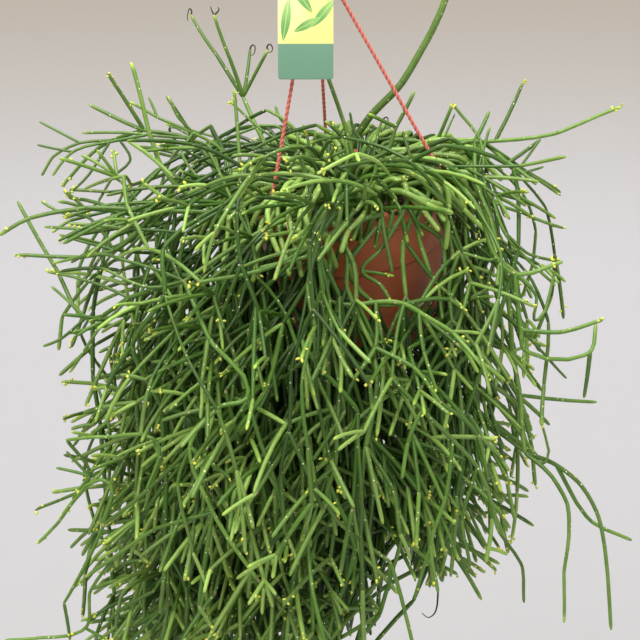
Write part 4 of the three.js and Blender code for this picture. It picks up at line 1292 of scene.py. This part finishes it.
# Thin shoots at the sides, from the joints of the single ones or over the rim
sideShoots = {
    "side_a": {"root": (186, 30), "crest": (190, 11), "limbs": [
        ((1.5, 1.3), [(207, 145, 6), (147, 135, 4), (83, 133, 2)]),
        ((1.4, 1.2), [(147, 135, 4), (110, 142, 8), (73, 152, 10), (53, 175, 12)]),
        ((1.3, 1.1), [(110, 142, 8), (90, 173, 12), (67, 195, 14)]),
        ((1.2, 1.1), [(73, 152, 10), (38, 145, 12)])]},
    "side_b": {"root": (176, 34), "crest": (180, 12), "limbs": [
        ((1.5, 1.3), [(220, 150, -8), (177, 143, -10), (120, 140, -12), (80, 143, -12), (53, 157, -12),
                      (42, 175, -12)]),
        ((1.3, 1.1), [(80, 143, -12), (40, 122, -14)]),
        ((1.3, 1.1), [(120, 140, -12), (130, 160, -8), (113, 177, -6), (97, 203, -4), (82, 217, -4)]),
        ((1.3, 1.1), [(177, 143, -10), (170, 128, -6), (193, 137, -2)]),
        ((1.2, 1.1), [(113, 177, -6), (128, 190, 2), (122, 214, 6)])]},
    "side_c": {"root": (196, 42), "crest": (199, 10), "limbs": [
        ((1.5, 1.3), [(227, 157, 22), (193, 133, 24), (157, 117, 24), (130, 102, 24)]),
        ((1.3, 1.2), [(193, 133, 24), (178, 117, 26), (168, 97, 28)]),
        ((1.4, 1.2), [(193, 133, 24), (182, 152, 30), (197, 177, 36), (206, 196, 40)]),
        ((1.2, 1.1), [(157, 117, 24), (149, 98, 20)])]},
    "side_d": {"root": (214, 50), "crest": (212, 9), "limbs": [
        ((1.7, 1.5), [(243, 206, 50), (240, 167, 48), (234, 90, 46)]),
        ((1.6, 1.4), [(243, 206, 50), (251, 237, 66), (258, 279, 78)]),
        ((1.5, 1.3), [(251, 237, 66), (233, 203, 60), (207, 148, 54)])]},
    "side_e": {"limbs": [
        ((1.5, 1.3), [(162, 167, 40), (200, 193, 50), (214, 211, 56)]),
        ((1.3, 1.2), [(106, 229, 52), (137, 210, 48), (117, 177, 44)]),
        ((1.4, 1.2), [(114, 250, 66), (87, 217, 60), (63, 213, 56), (42, 202, 54)]),
        ((1.4, 1.2), [(158, 210, 62), (103, 228, 66), (45, 227, 62)]),
        ((1.4, 1.2), [(114, 250, 66), (60, 235, 60)]),
        ((1.4, 1.2), [(184, 281, 92), (130, 262, 82), (100, 254, 76), (53, 263, 70)]),
        ((1.4, 1.2), [(129, 298, 80), (87, 281, 72), (48, 272, 66)]),
        ((1.4, 1.2), [(86, 318, 66), (70, 303, 62), (52, 287, 58)]),
        ((1.4, 1.2), [(184, 281, 92), (147, 287, 90), (102, 268, 84)]),
        ((1.3, 1.2), [(86, 318, 66), (62, 338, 62), (44, 346, 60)]),
        ((1.3, 1.2), [(129, 298, 80), (98, 330, 84), (70, 372, 82)])]},
    "side_f": {"root": (352, 34), "crest": (350, 12), "limbs": [
        ((1.5, 1.3), [(478, 173, 34), (480, 140, 30), (453, 104, 26)]),
        ((1.4, 1.3), [(480, 140, 30), (520, 167, 26), (560, 195, 20)]),
        ((1.4, 1.2), [(478, 173, 34), (490, 127, 30)]),
        ((1.4, 1.2), [(478, 173, 34), (493, 220, 42), (500, 260, 46)]),
        ((1.3, 1.2), [(478, 173, 34), (507, 177, 30), (540, 140, 26)]),
        ((1.3, 1.1), [(507, 177, 30), (543, 167, 24)])]},
    "side_g": {"root": (340, 46), "crest": (340, 10), "limbs": [
        ((1.6, 1.4), [(483, 177, 44), (520, 197, 42), (555, 218, 38)]),
        ((1.5, 1.3), [(483, 177, 44), (493, 200, 50), (523, 213, 50), (563, 228, 46)]),
        ((1.5, 1.3), [(493, 200, 50), (505, 233, 56), (530, 262, 56), (555, 285, 54)]),
        ((1.4, 1.2), [(505, 233, 56), (527, 253, 60), (561, 262, 58)])]},
    "side_h": {"limbs": [
        ((1.4, 1.2), [(515, 274, 66), (536, 296, 64), (535, 320, 62), (555, 271, 56)]),
        ((1.4, 1.2), [(497, 258, 66), (490, 260, 70), (463, 253, 70)]),
        ((1.3, 1.1), [(521, 330, 66), (546, 356, 60), (566, 378, 54)]),
        ((1.3, 1.1), [(525, 453, 24), (544, 463, 28), (542, 422, 28)])]},
}
# Short shoots that stand up out of the mouth
topShoots = {
    "top_a": {"root": (215, 30), "limbs": [
        ((1.6, 1.3), [(298, 150, 10), (297, 133, 8), (280, 117, 6), (267, 110, 6)]),
        ((1.3, 1.1), [(298, 150, 10), (262, 130, 4), (230, 101, 2)])]},
    "top_b": {"root": (244, 40), "limbs": [
        ((1.9, 1.7), [(347, 150, 30), (317, 125, 34)]),
        ((1.4, 1.2), [(347, 150, 30), (312, 158, 32), (308, 140, 32), (303, 125, 32)]),
        ((1.6, 1.4), [(312, 158, 32), (316, 132, 36)])]},
    "top_c": {"root": (300, 22), "limbs": [
        ((1.4, 1.1), [(375, 150, 20), (378, 133, 20), (382, 121, 20)]),
        ((1.6, 1.3), [(375, 150, 20), (407, 168, 24), (403, 132, 22)]),
        ((1.3, 1.1), [(375, 150, 20), (355, 132, 18), (350, 113, 18)])]},
    "top_d": {"root": (10, 40), "limbs": [((1.5, 1.0), [(438, 150, -6), (453, 118, -6)])]},
    "top_e": {"root": (160, 46), "limbs": [
        ((1.5, 1.2), [(280, 128, -20), (223, 140, -24), (180, 157, -26)])]},
}
# Shoots that lie over the front of the foliage
foreShoots = {
    "fore_a": {"limbs": [
        ((1.9, 1.7), [(184, 281, 92), (210, 340, 106), (247, 397, 112), (220, 407, 112), (190, 447, 110),
                      (213, 512, 102), (258, 580, 94)]),
        ((1.8, 1.6), [(247, 397, 112), (260, 440, 110), (276, 482, 106), (286, 530, 100)]),
        ((1.8, 1.6), [(213, 512, 102), (187, 580, 92)]),
        ((1.7, 1.5), [(190, 447, 110), (230, 478, 108)]),
        ((1.7, 1.5), [(190, 447, 110), (147, 490, 98), (104, 524, 86)]),
        ((1.6, 1.4), [(190, 447, 110), (178, 483, 106), (193, 553, 98)]),
        ((1.6, 1.4), [(147, 490, 98), (157, 443, 100), (107, 437, 90), (67, 440, 82)])]},
    "fore_b": {"limbs": [
        ((2.0, 1.9), [(373, 347, 94), (377, 384, 108), (366, 446, 108), (360, 500, 102)]),
        ((1.8, 1.6), [(366, 446, 108), (393, 490, 106), (400, 534, 100)]),
        ((1.8, 1.6), [(341, 372, 104), (337, 423, 110), (335, 467, 106), (327, 503, 102), (360, 540, 96),
                      (390, 562, 92)]),
        ((1.7, 1.5), [(337, 423, 110), (313, 460, 108)]),
        ((1.6, 1.4), [(335, 467, 106), (308, 490, 104)]),
        ((1.7, 1.5), [(390, 562, 92), (405, 613, 84), (413, 646, 80)]),
        ((1.6, 1.4), [(390, 562, 92), (389, 590, 88)])]},
    "fore_c": {"limbs": [
        ((1.9, 1.7), [(392, 378, 104), (422, 410, 108), (453, 440, 104), (477, 467, 98), (498, 530, 88)]),
        ((1.7, 1.6), [(422, 410, 108), (408, 443, 108), (402, 478, 106)]),
        ((1.7, 1.5), [(440, 402, 110), (477, 435, 98), (488, 480, 92)]),
        ((1.6, 1.5), [(453, 440, 104), (446, 496, 100), (431, 545, 92), (438, 592, 84)]),
        ((1.6, 1.4), [(477, 467, 98), (462, 520, 94), (470, 566, 86)]),
        ((1.5, 1.3), [(431, 545, 92), (414, 599, 84)]),
        ((1.4, 1.3), [(498, 530, 88), (522, 566, 80), (524, 602, 74)])]},
    "fore_d": {"limbs": [
        ((1.6, 1.4), [(104, 524, 86), (64, 603, 74)]),
        ((1.6, 1.4), [(213, 512, 102), (153, 530, 92), (85, 577, 80)]),
        ((1.5, 1.3), [(67, 440, 82), (90, 476, 80), (36, 510, 70)]),
        ((1.3, 1.2), [(90, 476, 80), (57, 468, 76)]),
        ((1.3, 1.2), [(90, 476, 80), (67, 452, 78)]),
        ((1.3, 1.2), [(90, 476, 80), (73, 498, 78)]),
        ((1.5, 1.3), [(104, 524, 86), (107, 482, 90), (54, 527, 76), (38, 543, 72)]),
        ((1.4, 1.3), [(153, 530, 92), (113, 560, 82), (90, 592, 76), (85, 628, 70), (38, 638, 66),
                      (6, 640, 64)]),
        ((1.3, 1.2), [(85, 628, 70), (110, 642, 68)]),
        ((1.4, 1.3), [(64, 603, 74), (70, 640, 70)])]},
}
bareSingles = {"tallShoot", "rightReach", "rightDroop", "leftTop", "leftReach", "rightTop", "leftArch",
               "crownShoots"}


# Shoots that cross the rim and hang close to the pot's wall
def growSkirt(draw):
    grown = 0
    for k in range(skirt["count"]):
        angle = 360 * k / skirt["count"] + draw((-2, 2))
        if draw((0, 1)) < skirt["bareShare"]:
            angle = draw(skirt["bareArc"])
        inOpen = skirt["open"][0] < angle % 360 < skirt["open"][1]
        height = draw(skirt["crest"])
        points = [onPot(draw(skirt["root"]), angle, -soil["depth"] - 2), place(skirt["over"], height, angle)]
        many = math.floor(draw(skirt["many"])) if not inOpen else 1
        for i in range(many):
            height -= draw(skirt["step"]) * (0.5 if i == 0 else 1)
            c, s = wave(angle)
            target = place(draw(skirt["ring"]) + skirt["taper"] * min(0, height), height, angle)
            end = plus(target, (-s, c, 0), draw((-skirt["side"], skirt["side"])))
            start = between(points[-1], end, 0.1)
            if not (isClearOfPot(start, end, skirt["clear"])
                    and isFree(start, end, skirt["thick"][0], "skirt", skirt["gap"])):
                break
            points.append(end)
        if len(points) > 2:
            quarter = math.floor(angle % 360 / 90)
            layLimb(f"skirt_{quarter}", skirt["thick"], points, draw(skirt["youth"]), "solid")
            grown += 1
    print("shoots close to the pot:", grown)


def isClearOfWindow(p):
    x, y, near = project(p)
    window = rods["window"]
    return near < 20 or math.hypot((x - window["x"]) / window["wide"], (y - window["y"]) / window["high"]) > 1


def bentWay(points, draw):  # halves each stretch at a point a little off its line
    way = []
    for a, b in zip(points, points[1:]):
        off = tuple(draw((-rods["off"], rods["off"])) for axis in range(3))
        way += [plus(between(a, b, 0.5), off), b]
    return way


# A rod rises out of the soil, arches over the rim and hangs a little way down outside it
def growRods(draw):
    grown = 0
    for k in range(rods["count"]):
        ring, angle = draw(rods["root"]), draw((0, 360))
        if draw((0, 1)) < rods["front"]:
            angle = draw(rods["frontArc"])
        top, over, end, low = draw(rods["top"]), draw(rods["over"]), draw(rods["end"]), draw(rods["low"])
        turn = angle + draw((-rods["spread"], rods["spread"]))
        half = (angle + turn) / 2
        points = [onPot(ring, angle, -soil["depth"] - 2), place(ring + 3, top - 2, angle)]
        if ring < rods["archWithin"]:
            points.append(place((ring + over) / 2, top + rods["bend"], half))
        points += [place(over, top - 1, half), place(end, low, turn)]
        points = points[:2] + bentWay(points[1:], draw)
        clear = all(
            isInside(b, rods["room"]) and isClearOfWindow(b)
            and isClearOfPot(a, b, rods["thick"][1] * rods["slack"])
            and isFree(plus(a, unit(minus(b, a)), 2), b, rods["thick"][0], "crownRods", rods["gap"])
            for a, b in zip(points[1:], points[2:])
        )
        if clear:
            part = math.floor(angle % 360 / 360 * rods["pieces"])
            layLimb(f"crownRods_{part}", rods["thick"], points, draw(rods["youth"]), "rod")
            grown += 1
        if grown == rods["most"]:
            break
    print("rods over the rim:", grown)


def growFiner():
    draw = makeDice(finer["seed"])
    for name, single in (topShoots | frontShoots | sideShoots | foreShoots).items():
        laySingle(name, single)
    growRods(draw)
    growSkirt(draw)
    foliage["bay"] = finer["bay"]
    for family in families:
        first, last = family["arc"]
        count = finer["counts"][family["kind"]]
        for k in range(count):
            middle = first + (last - first) * (k + 0.5) / count
            name = f"{family['kind']}More"
            youth = 0.85 if family["kind"] == "crown" else draw((0.1, 0.5))
            for turn in range(finer["turns"]):
                if growSpray(name, family, middle + draw(growth["turn"]), draw, finer["gap"], youth):
                    break
    print("with thin sprays:", len(limbs), "limbs")
    fillOut(draw)
    print("with limbs:", len(limbs))
    hangStrands(draw)
    print("with strands:", len(limbs))
    for limb in list(limbs):
        points = limb["points"]
        if limb["owner"] in bareSingles or limb["kind"] in ("rod", "deep"):
            continue
        if draw((0, 1)) > finer["whorlShare"]:
            continue
        axis = unit(minus(points[-1], points[-2]))
        spin = draw((0, 360))
        many = math.floor(draw(finer["tipMany"]))
        for k in range(many):
            facing = spin + k * 360 / many
            near = shoot(limb["owner"], points[-1], axis, finer["whorl"], draw, finer["gap"], facing)
            if near:
                layLimb(limb["owner"], finer["twig"], [points[-1], near[0]], limb["youth"] + 0.15, "twig")


def fillOut(draw):
    joints = []
    for limb in limbs:
        if limb["owner"] not in bareSingles and limb["kind"] != "rod":
            joints += [(limb, i) for i in range(2, len(limb["points"]))]
    used = {}
    total = sum(len(limb["points"]) - 1 for limb in limbs)
    for attempt in range(finer["tries"]):
        if total >= finer["stretches"]:
            break
        limb, i = joints[math.floor(draw((0, len(joints) - 1e-6)))]
        at = jointKey(limb["points"][i])
        if used.get(at, 0) >= finer["perJoint"]:
            continue
        used[at] = used.get(at, 0) + 1
        x, y, near = project(limb["points"][i])
        thinned = finer["thinned"]
        if x < thinned["x"] and y < thinned["y"] and draw((0, 1)) > thinned["keep"]:
            continue
        axis = unit(minus(limb["points"][i], limb["points"][i - 1]))
        added = growChain(limb, limb["points"][i], axis, draw)
        if added:
            total += len(added["points"]) - 1
            joints += [(added, k) for k in range(1, len(added["points"]))]


# Old, bare strands that hang inside the foliage, from the joints of the sprays; their dark colour is age and
# painted shade deep in the foliage
def hangStrands(draw):
    joints = []
    for limb in limbs:
        if limb["owner"] in bareSingles or limb["kind"] in ("rod", "twig"):
            continue
        for p in limb["points"][3:]:
            x, y, height = minus(p, pot["rimCentre"])
            angle = math.degrees(math.atan2(y, x))
            reach = roundOff(foliage["ring"], angle) * strands["share"]
            if height < strands["low"] and math.hypot(x, y) < reach:
                joints.append((limb["owner"], p))
    total = 0
    for attempt in range(strands["tries"]):
        owner, start = joints[math.floor(draw((0, len(joints) - 1e-6)))]
        way, axis = [start], (0, 0, -1)
        found = shoot(owner, start, axis, strands["habit"], draw, strands["gap"])
        while found and len(way) <= strands["chain"]:
            way.append(found[0])
            lower = unit(plus(found[1], axis, 0.6))
            found = shoot(owner, way[-1], lower, strands["habit"], draw, strands["gap"])
        if len(way) > 1:
            layLimb(owner, strands["thick"], way, draw(strands["youth"]), "deep")
            total += len(way) - 1
            joints += [(owner, p) for p in way[1:]]
        if total >= strands["most"]:
            break
    print("strands inside:", total, "stretches")


def growChain(limb, start, axis, draw):
    way = [start]
    habit = finer["stray"] if draw((0, 1)) < finer["strayShare"] else finer["hang"]
    found = shoot(limb["owner"], start, axis, habit, draw, finer["gap"])
    for step in range(math.floor(draw((0, finer["chain"])))):
        if not found:
            break
        way.append(found[0])
        found = shoot(limb["owner"], way[-1], found[1], finer["next"], draw, finer["gap"])
    if found:
        way.append(found[0])
    if len(way) < 2:
        return None
    layLimb(limb["owner"], finer["thin"], way, min(0.75, limb["youth"] + 0.06), "thin")
    return limbs[-1]


def jointKey(p):
    return tuple(round(number, 3) for number in p)


growFiner()
print("stretches:", sum(len(limb["points"]) - 1 for limb in limbs))

# Skin over the shoots: every stretch is a stem of its own, narrower at its joints
skin = {
    "seed": 3, "bend": {"single": 1, "rod": 0.9, "other": 0.6}, "bow": 0.02, "overlap": 0.5, "sag": 0.16,
    "sides": {"single": 9, "rod": 8, "solid": 7, "thin": 6, "twig": 6, "deep": 5},
    "stations": ((0, 0.62), (0.03, 0.87), (0.1, 0.98), (0.36, 1.0), (0.66, 1.0), (0.9, 0.95), (0.97, 0.84),
                 (1, 0.6)),
    "deepStations": ((0, 0.62), (0.06, 0.93), (0.5, 1.0), (0.94, 0.93), (1, 0.6)),
    "slim": {"solid": 0.74, "single": 0.76, "thin": 1, "twig": 1, "rod": 1, "deep": 1},
    "pinch": {"solid": 0.7, "single": 0.15, "thin": 0.8, "twig": 1, "rod": 0.55, "deep": 0.6},
    "even": {"tallShoot": (2.8, 2.2)}, "tipEnds": {0.9: 0.98, 0.94: 0.85, 0.97: 0.86, 1: 0.42},
    "tipLength": 8, "inner": (0.42, 0.9), "shadedInnerYouth": 0.2,
    "stout": 0.17, "stoutFrom": -30, "stoutSpan": 110,
}
buds = {
    "share": 0.42, "many": (1.6, 5.6), "radius": (0.7, 1.15), "length": (1.5, 3.1), "back": (-9, 0.4),
    "without": {"leftTop", "tallShoot", "top_d"}, "tilt": (18, 82), "sides": 5,
    "rings": ((0, 0.35), (0.3, 0.95), (0.65, 0.85), (0.95, 0.3)),
}
circles = {n: [wave(360 * k / n) for k in range(n)] for n in {buds["sides"], *skin["sides"].values()}}
startings = {jointKey(limb["points"][0]) for limb in limbs}


def closeRings(parts, base, rings, sides, slot):
    points, faces, slots = parts
    for i in range(rings - 1):
        faces += bridge(base + i * sides, base + (i + 1) * sides, sides)
    last = base + (rings - 1) * sides
    faces.append([base + k for k in range(sides)][::-1])
    faces.append([last + k for k in range(sides)])
    slots.extend([slot] * ((rings - 1) * sides + 2))


def addBud(parts, looks, at, way, radius, length):
    side = carry(way, sideHint)
    up = cross(way, side)
    base = len(parts[0])
    for share, wide in buds["rings"]:
        for c, s in circles[buds["sides"]]:
            spot = plus(at, way, length * share)
            parts[0].append(plus(plus(spot, side, radius * wide * c), up, radius * wide * s))
            looks.append((0.5, 1, 1, 0))
    closeRings(parts, base, len(buds["rings"]), buds["sides"], 1)


# look: tone, youth and how much of the tip's colour; pinches: how far each end narrows; tip: ends freely
def addStretch(parts, looks, a, b, ta, tb, radii, look, pinches, tip, kind):
    points = parts[0]
    sides = skin["sides"][kind]
    stations = skin["deepStations"] if kind == "deep" else skin["stations"]
    base = len(points)
    span = size(minus(b, a))
    side = carry(unit(ta), sideHint)
    tone, youth, tipped = look
    before = a
    for t, wide in stations:
        p = hermite(a, b, ta, tb, t)
        later = hermite(a, b, ta, tb, min(t + 0.02, 1))
        axis = unit(minus(later, p)) if t < 1 else unit(minus(p, before))
        before = p
        if t == 1:
            p = plus(p, axis, skin["overlap"])
        side = carry(axis, side)
        up = cross(axis, side)
        pinch = pinches[0] if t < 0.5 else pinches[1]
        wide = skin["tipEnds"].get(t, wide) if tip else 1 - (1 - wide) * pinch
        if tip and t < 0.5:
            wide = 1 - (1 - wide) * pinch
        radius = (radii[0] + (radii[1] - radii[0]) * t) * wide
        for c, s in circles[sides]:
            points.append(plus(plus(p, side, radius * c), up, radius * s))
        left = span * (1 - t)
        fresh = tipped * max(0, 1 - left / skin["tipLength"]) if tip else 0
        cork = pinch if t in (0, 1) and not (tip and t == 1) else (0.35 * pinch if t in (0.03, 0.97) else 0)
        looks.extend([(tone, youth, fresh, cork)] * sides)
    closeRings(parts, base, len(stations), sides, 0)


def youthWithShadeAt(limb, middle):  # the innermost stems are the oldest and darkest: age, and painted shade deep in the foliage
    if limb["kind"] in ("single", "rod"):
        return limb["youth"]
    # Painted shade: stems deep in the foliage get the darker colour of old stems
    x, y, height = minus(middle, pot["rimCentre"])
    share = math.hypot(x, y) / roundOff(foliage["ring"], math.degrees(math.atan2(y, x)))
    low, high = skin["inner"]
    out = min(1, max(0, (share - low) / (high - low)))
    return limb["youth"] * (skin["shadedInnerYouth"] + (1 - skin["shadedInnerYouth"]) * out)


def stoutAt(kind, p):  # the lower stems are the stouter ones
    if kind not in ("thin", "twig", "solid"):
        return 1
    height = p[2] - pot["rimCentre"][2]
    return 1 + skin["stout"] * min(1, max(0, (skin["stoutFrom"] - height) / skin["stoutSpan"]))


def makeStems(name, owned, draw, replaced):
    parts, looks = ([], [], []), []
    for limb in owned:
        kind, points = limb["kind"], limb["points"]
        thick, thin = skin["even"].get(limb["owner"], [r * skin["slim"][kind] for r in limb["thick"]])
        ways = [unit(minus(b, a)) for a, b in zip(points, points[1:])]
        many = len(ways)
        bend = skin["bend"].get(kind, skin["bend"]["other"])
        tone = draw((0, 1))
        for i in range(many):
            a, b = points[i], points[i + 1]
            span = size(minus(b, a))
            start = unit(between(ways[i], unit(plus(ways[i], ways[i - 1])), bend)) if i else ways[i]
            end = ways[i]
            if i < many - 1:
                end = unit(between(ways[i], unit(plus(ways[i], ways[i + 1])), bend))
            bow = tuple(draw((-1, 1)) * span * skin["bow"] * 4 for axis in range(3))
            level = math.hypot(ways[i][0], ways[i][1]) if kind in ("thin", "twig") else 0
            drop = (0, 0, span * skin["sag"] * level)
            ta = plus(plus(times(start, span), bow), drop)
            tb = minus(plus(times(end, span), bow, -1), drop)
            radii = [(thick + (thin - thick) * (i + k) / many) * stoutAt(kind, (a, b)[k]) for k in range(2)]
            tip = i == many - 1 and jointKey(b) not in startings
            vary = 0 if kind == "single" else 1
            youth = youthWithShadeAt(limb, between(a, b, 0.5)) + 0.15 * i / many
            youth += vary * (draw((-0.12, 0.12)) + (0.12 if tip else 0))
            shade = min(1, max(0, tone + vary * draw((-0.2, 0.2))))
            look = (shade, min(1, max(0, youth)), draw((0, 1)))
            pinch = skin["pinch"][kind]
            pinches = (pinch if i else 1, pinch if i < many - 1 else 1)
            addStretch(parts, looks, a, b, ta, tb, radii, look, pinches, tip, kind)
            bears = kind not in ("deep", "rod") and limb["owner"] not in buds["without"]
            if tip and bears and draw((0, 1)) < buds["share"]:
                for k in range(math.floor(draw(buds["many"]))):
                    way = turned(unit(tb), draw(buds["tilt"]), draw((0, 360)))
                    foot = plus(b, unit(tb), draw(buds["back"]))
                    addBud(parts, looks, plus(foot, way, radii[1] * 0.7), way, draw(buds["radius"]),
                           draw(buds["length"]))
    piece = makePiece(name, parts[0], parts[1], [skins["stem"], skins["bud"]], replaced,
                      faceSlots=parts[2])
    addValues(piece, "stemLook", looks, "FLOAT_COLOR")
    return sum(len(face) - 2 for face in parts[1])


def makeFoliage():
    draw = makeDice(skin["seed"])
    owners = {}
    for limb in limbs:
        owners.setdefault(limb["owner"], []).append(limb)
    triangles = []
    for owner, owned in owners.items():
        replaced = [owner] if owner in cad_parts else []
        triangles.append(makeStems(f"stems_{owner}", owned, draw, replaced))
    print("stem pieces:", len(owners), "triangles:", sum(triangles), "most in one:", max(triangles))


makeFoliage()

# Dried ends: black threads that curl at some tips, and dry points, in view pixels
driedEnds = {
    "threadRadius": 0.42, "taper": (1.5, 0.9),
    "threads": (
        ((250, 50, -40), (250.8, 47, -40), (252.8, 45, -39), (254.9, 46.5, -38), (254.9, 51, -38),
         (253.4, 54.6, -38), (251.2, 55.4, -37)),
        ((268, 50, -16), (267, 47, -16), (269, 44.3, -15), (271.5, 45.5, -14), (272.6, 49, -14),
         (271, 52, -14), (268.5, 52.5, -13)),
        ((191, 15, -34), (191.7, 12.5, -34), (191, 9.5, -34), (189.3, 9, -33), (188, 12.5, -33),
         (187.3, 16.5, -33), (187.8, 21, -33)),
        ((214, 15, -8), (212, 11, -8), (210.5, 6.5, -7)),
        ((214, 15, -8), (217.5, 12, -8), (219, 9.5, -7), (218, 7, -6)),
        ((382, 121, 20), (384.5, 118, 20), (387, 117.3, 21), (388, 120, 22), (385.5, 125.5, 22),
         (383.5, 131, 23)),
        ((453, 118, -6), (454.3, 115.5, -6), (454.6, 113.5, -6)),
        ((555, 271, 56), (556, 268.5, 56), (556.4, 266, 56)),
        # A dark curl at the lower right, set where the ends lie in shade: painted shade
        ((438, 592, 84), (437, 606, 83), (434, 614, 82), (428, 617.5, 82), (422, 613, 82)),
    ),
}


def threadTubes(lines, look):  # thin tubes along smoothed lines, thinner towards their ends
    thick, thinner = look["taper"]
    radius = look["threadRadius"]
    return [tube(smoothLine(line, 4), lambda t: radius * (thick - thinner * t), 6) for line in lines]


def makeDriedEnds():
    lines = [[seen(point) for point in thread] for thread in driedEnds["threads"]]
    points, faces = joined(threadTubes(lines, driedEnds))
    makePiece("driedEnds", points, faces, [skins["dried"]])


makeDriedEnds()

# Rootlets: dry strands on the soil and over the rim
rootlets = {
    "count": 60, "radius": (0.3, 0.6), "length": (14, 34), "seed": 21, "threadRadius": 0.42,
    "taper": (1.2, 0.7),
    "overRim": ((58, -11), (63, -2), (66.5, 1), (70.6, 0.2)),
    "ring": 60, "steps": 8, "swing": 60, "lift": (0.5, 3), "tip": 0.6, "sides": 6,
    "hanging": (  # the angle where each crosses the rim, then view pixels as for the shoots
        (242, (287, 222, 74), (290, 234, 80), (298, 243, 84)),
        (245, (296, 224, 74), (298, 231, 79), (307, 236, 82)),
        (251, (309, 223, 74), (318, 232, 78), (322, 246, 81)),
        (256, (318, 225, 73), (327, 233, 76), (334, 230, 79)),
        (270, (346, 222, 71), (338, 227, 73)),
        (315, (430, 216, 55), (425, 224, 58)),
    ),
}


def makeRootlets():
    r = rootlets
    draw = makeDice(r["seed"])
    parts = []
    for k in range(r["count"]):
        ring, angle, turn = r["ring"] * math.sqrt(draw((0.1, 1))), draw((0, 360)), draw((0, 360))
        c, s = wave(angle)
        x, y = ring * c, ring * s
        step = draw(r["length"]) / r["steps"]
        path = []
        for i in range(r["steps"] + 1):
            t = i / r["steps"]
            c, s = wave(turn + r["swing"] * math.sin(t * 5 + k))
            x, y = x + c * step, y + s * step
            if math.hypot(x, y) > pot["mouth"] - 1.5:
                break
            rise = r["lift"][1] * math.sin(math.pi * t) * draw((0.2, 1))
            path.append((x, y, soilHeight(x, y) + r["lift"][0] + rise))
        if len(path) > 4:
            parts.append(tube(path, lambda t, wide=draw(r["radius"]): wide * (1 - r["tip"] * t), r["sides"]))
    lines = []
    for angle, *strand in r["hanging"]:
        start = [onPot(ring, angle, height) for ring, height in r["overRim"]]
        lines.append(start + [seen(point) for point in strand])
    points, faces = joined(threadTubes(lines, rootlets))
    makePiece("rootletsHanging", points, faces, [skins["rootlet"]])
    points, faces = joined(parts)
    makePiece("rootlets", toWorld(points), faces, [skins["rootlet"]])


makeRootlets()

# Studio: a softly glowing bowl of paper round the plant, with its floor well below, and soft lights; metres
studio = {
    "floor": -1.5, "wall": 2.3, "cove": 0.9, "top": 2.6, "steps": 14, "sides": 72,
    "lights": (
        ("keyLight", (-0.7, -1.2, 1.2), 1.0, 34, (1.0, 0.985, 0.94)),
        ("fillLight", (1.3, -1.1, 0.3), 1.6, 9, (1.0, 1.0, 0.98)),
        ("topLight", (0.0, -0.1, 1.4), 1.0, 31, (1.0, 1.0, 0.97)),
    ),
    "worldColor": (0.89, 0.885, 0.89), "worldStrength": 0.15,
}


def makeStudio():
    profile = [(0, studio["floor"])]
    for k in range(studio["steps"] + 1):
        c, s = wave(-90 + 90 * k / studio["steps"])
        profile.append((studio["wall"] - studio["cove"] + studio["cove"] * c,
                        studio["floor"] + studio["cove"] + studio["cove"] * s))
    points, faces = lathe(profile + [(studio["wall"], studio["top"])], studio["sides"])
    makeShape("backdrop", [times(p, 1 / metre) for p in points], faces, [skins["backdrop"]])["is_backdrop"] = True
    aim = Vector(pot["rimCentre"]) * metre
    for name, place, wide, power, tint in studio["lights"]:
        lamp = bpy.data.lights.new(name, "AREA")
        lamp.shape, lamp.size, lamp.energy, lamp.color = "DISK", wide, power, tint
        light = show(bpy.data.objects.new(name, lamp))
        light.location = place
        light.rotation_euler = (Vector(place) - aim).to_track_quat("Z", "Y").to_euler()
    world = bpy.data.worlds.new("softSky")
    world.use_nodes = True
    sky = world.node_tree.nodes["Background"]
    sky.inputs["Color"].default_value = (*studio["worldColor"], 1)
    sky.inputs["Strength"].default_value = studio["worldStrength"]
    bpy.context.scene.world = world
    bpy.context.scene.view_settings.view_transform = "Standard"


makeStudio()
print("studio made")

[[list(corner) for corner in box] for box in (cadBox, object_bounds())]
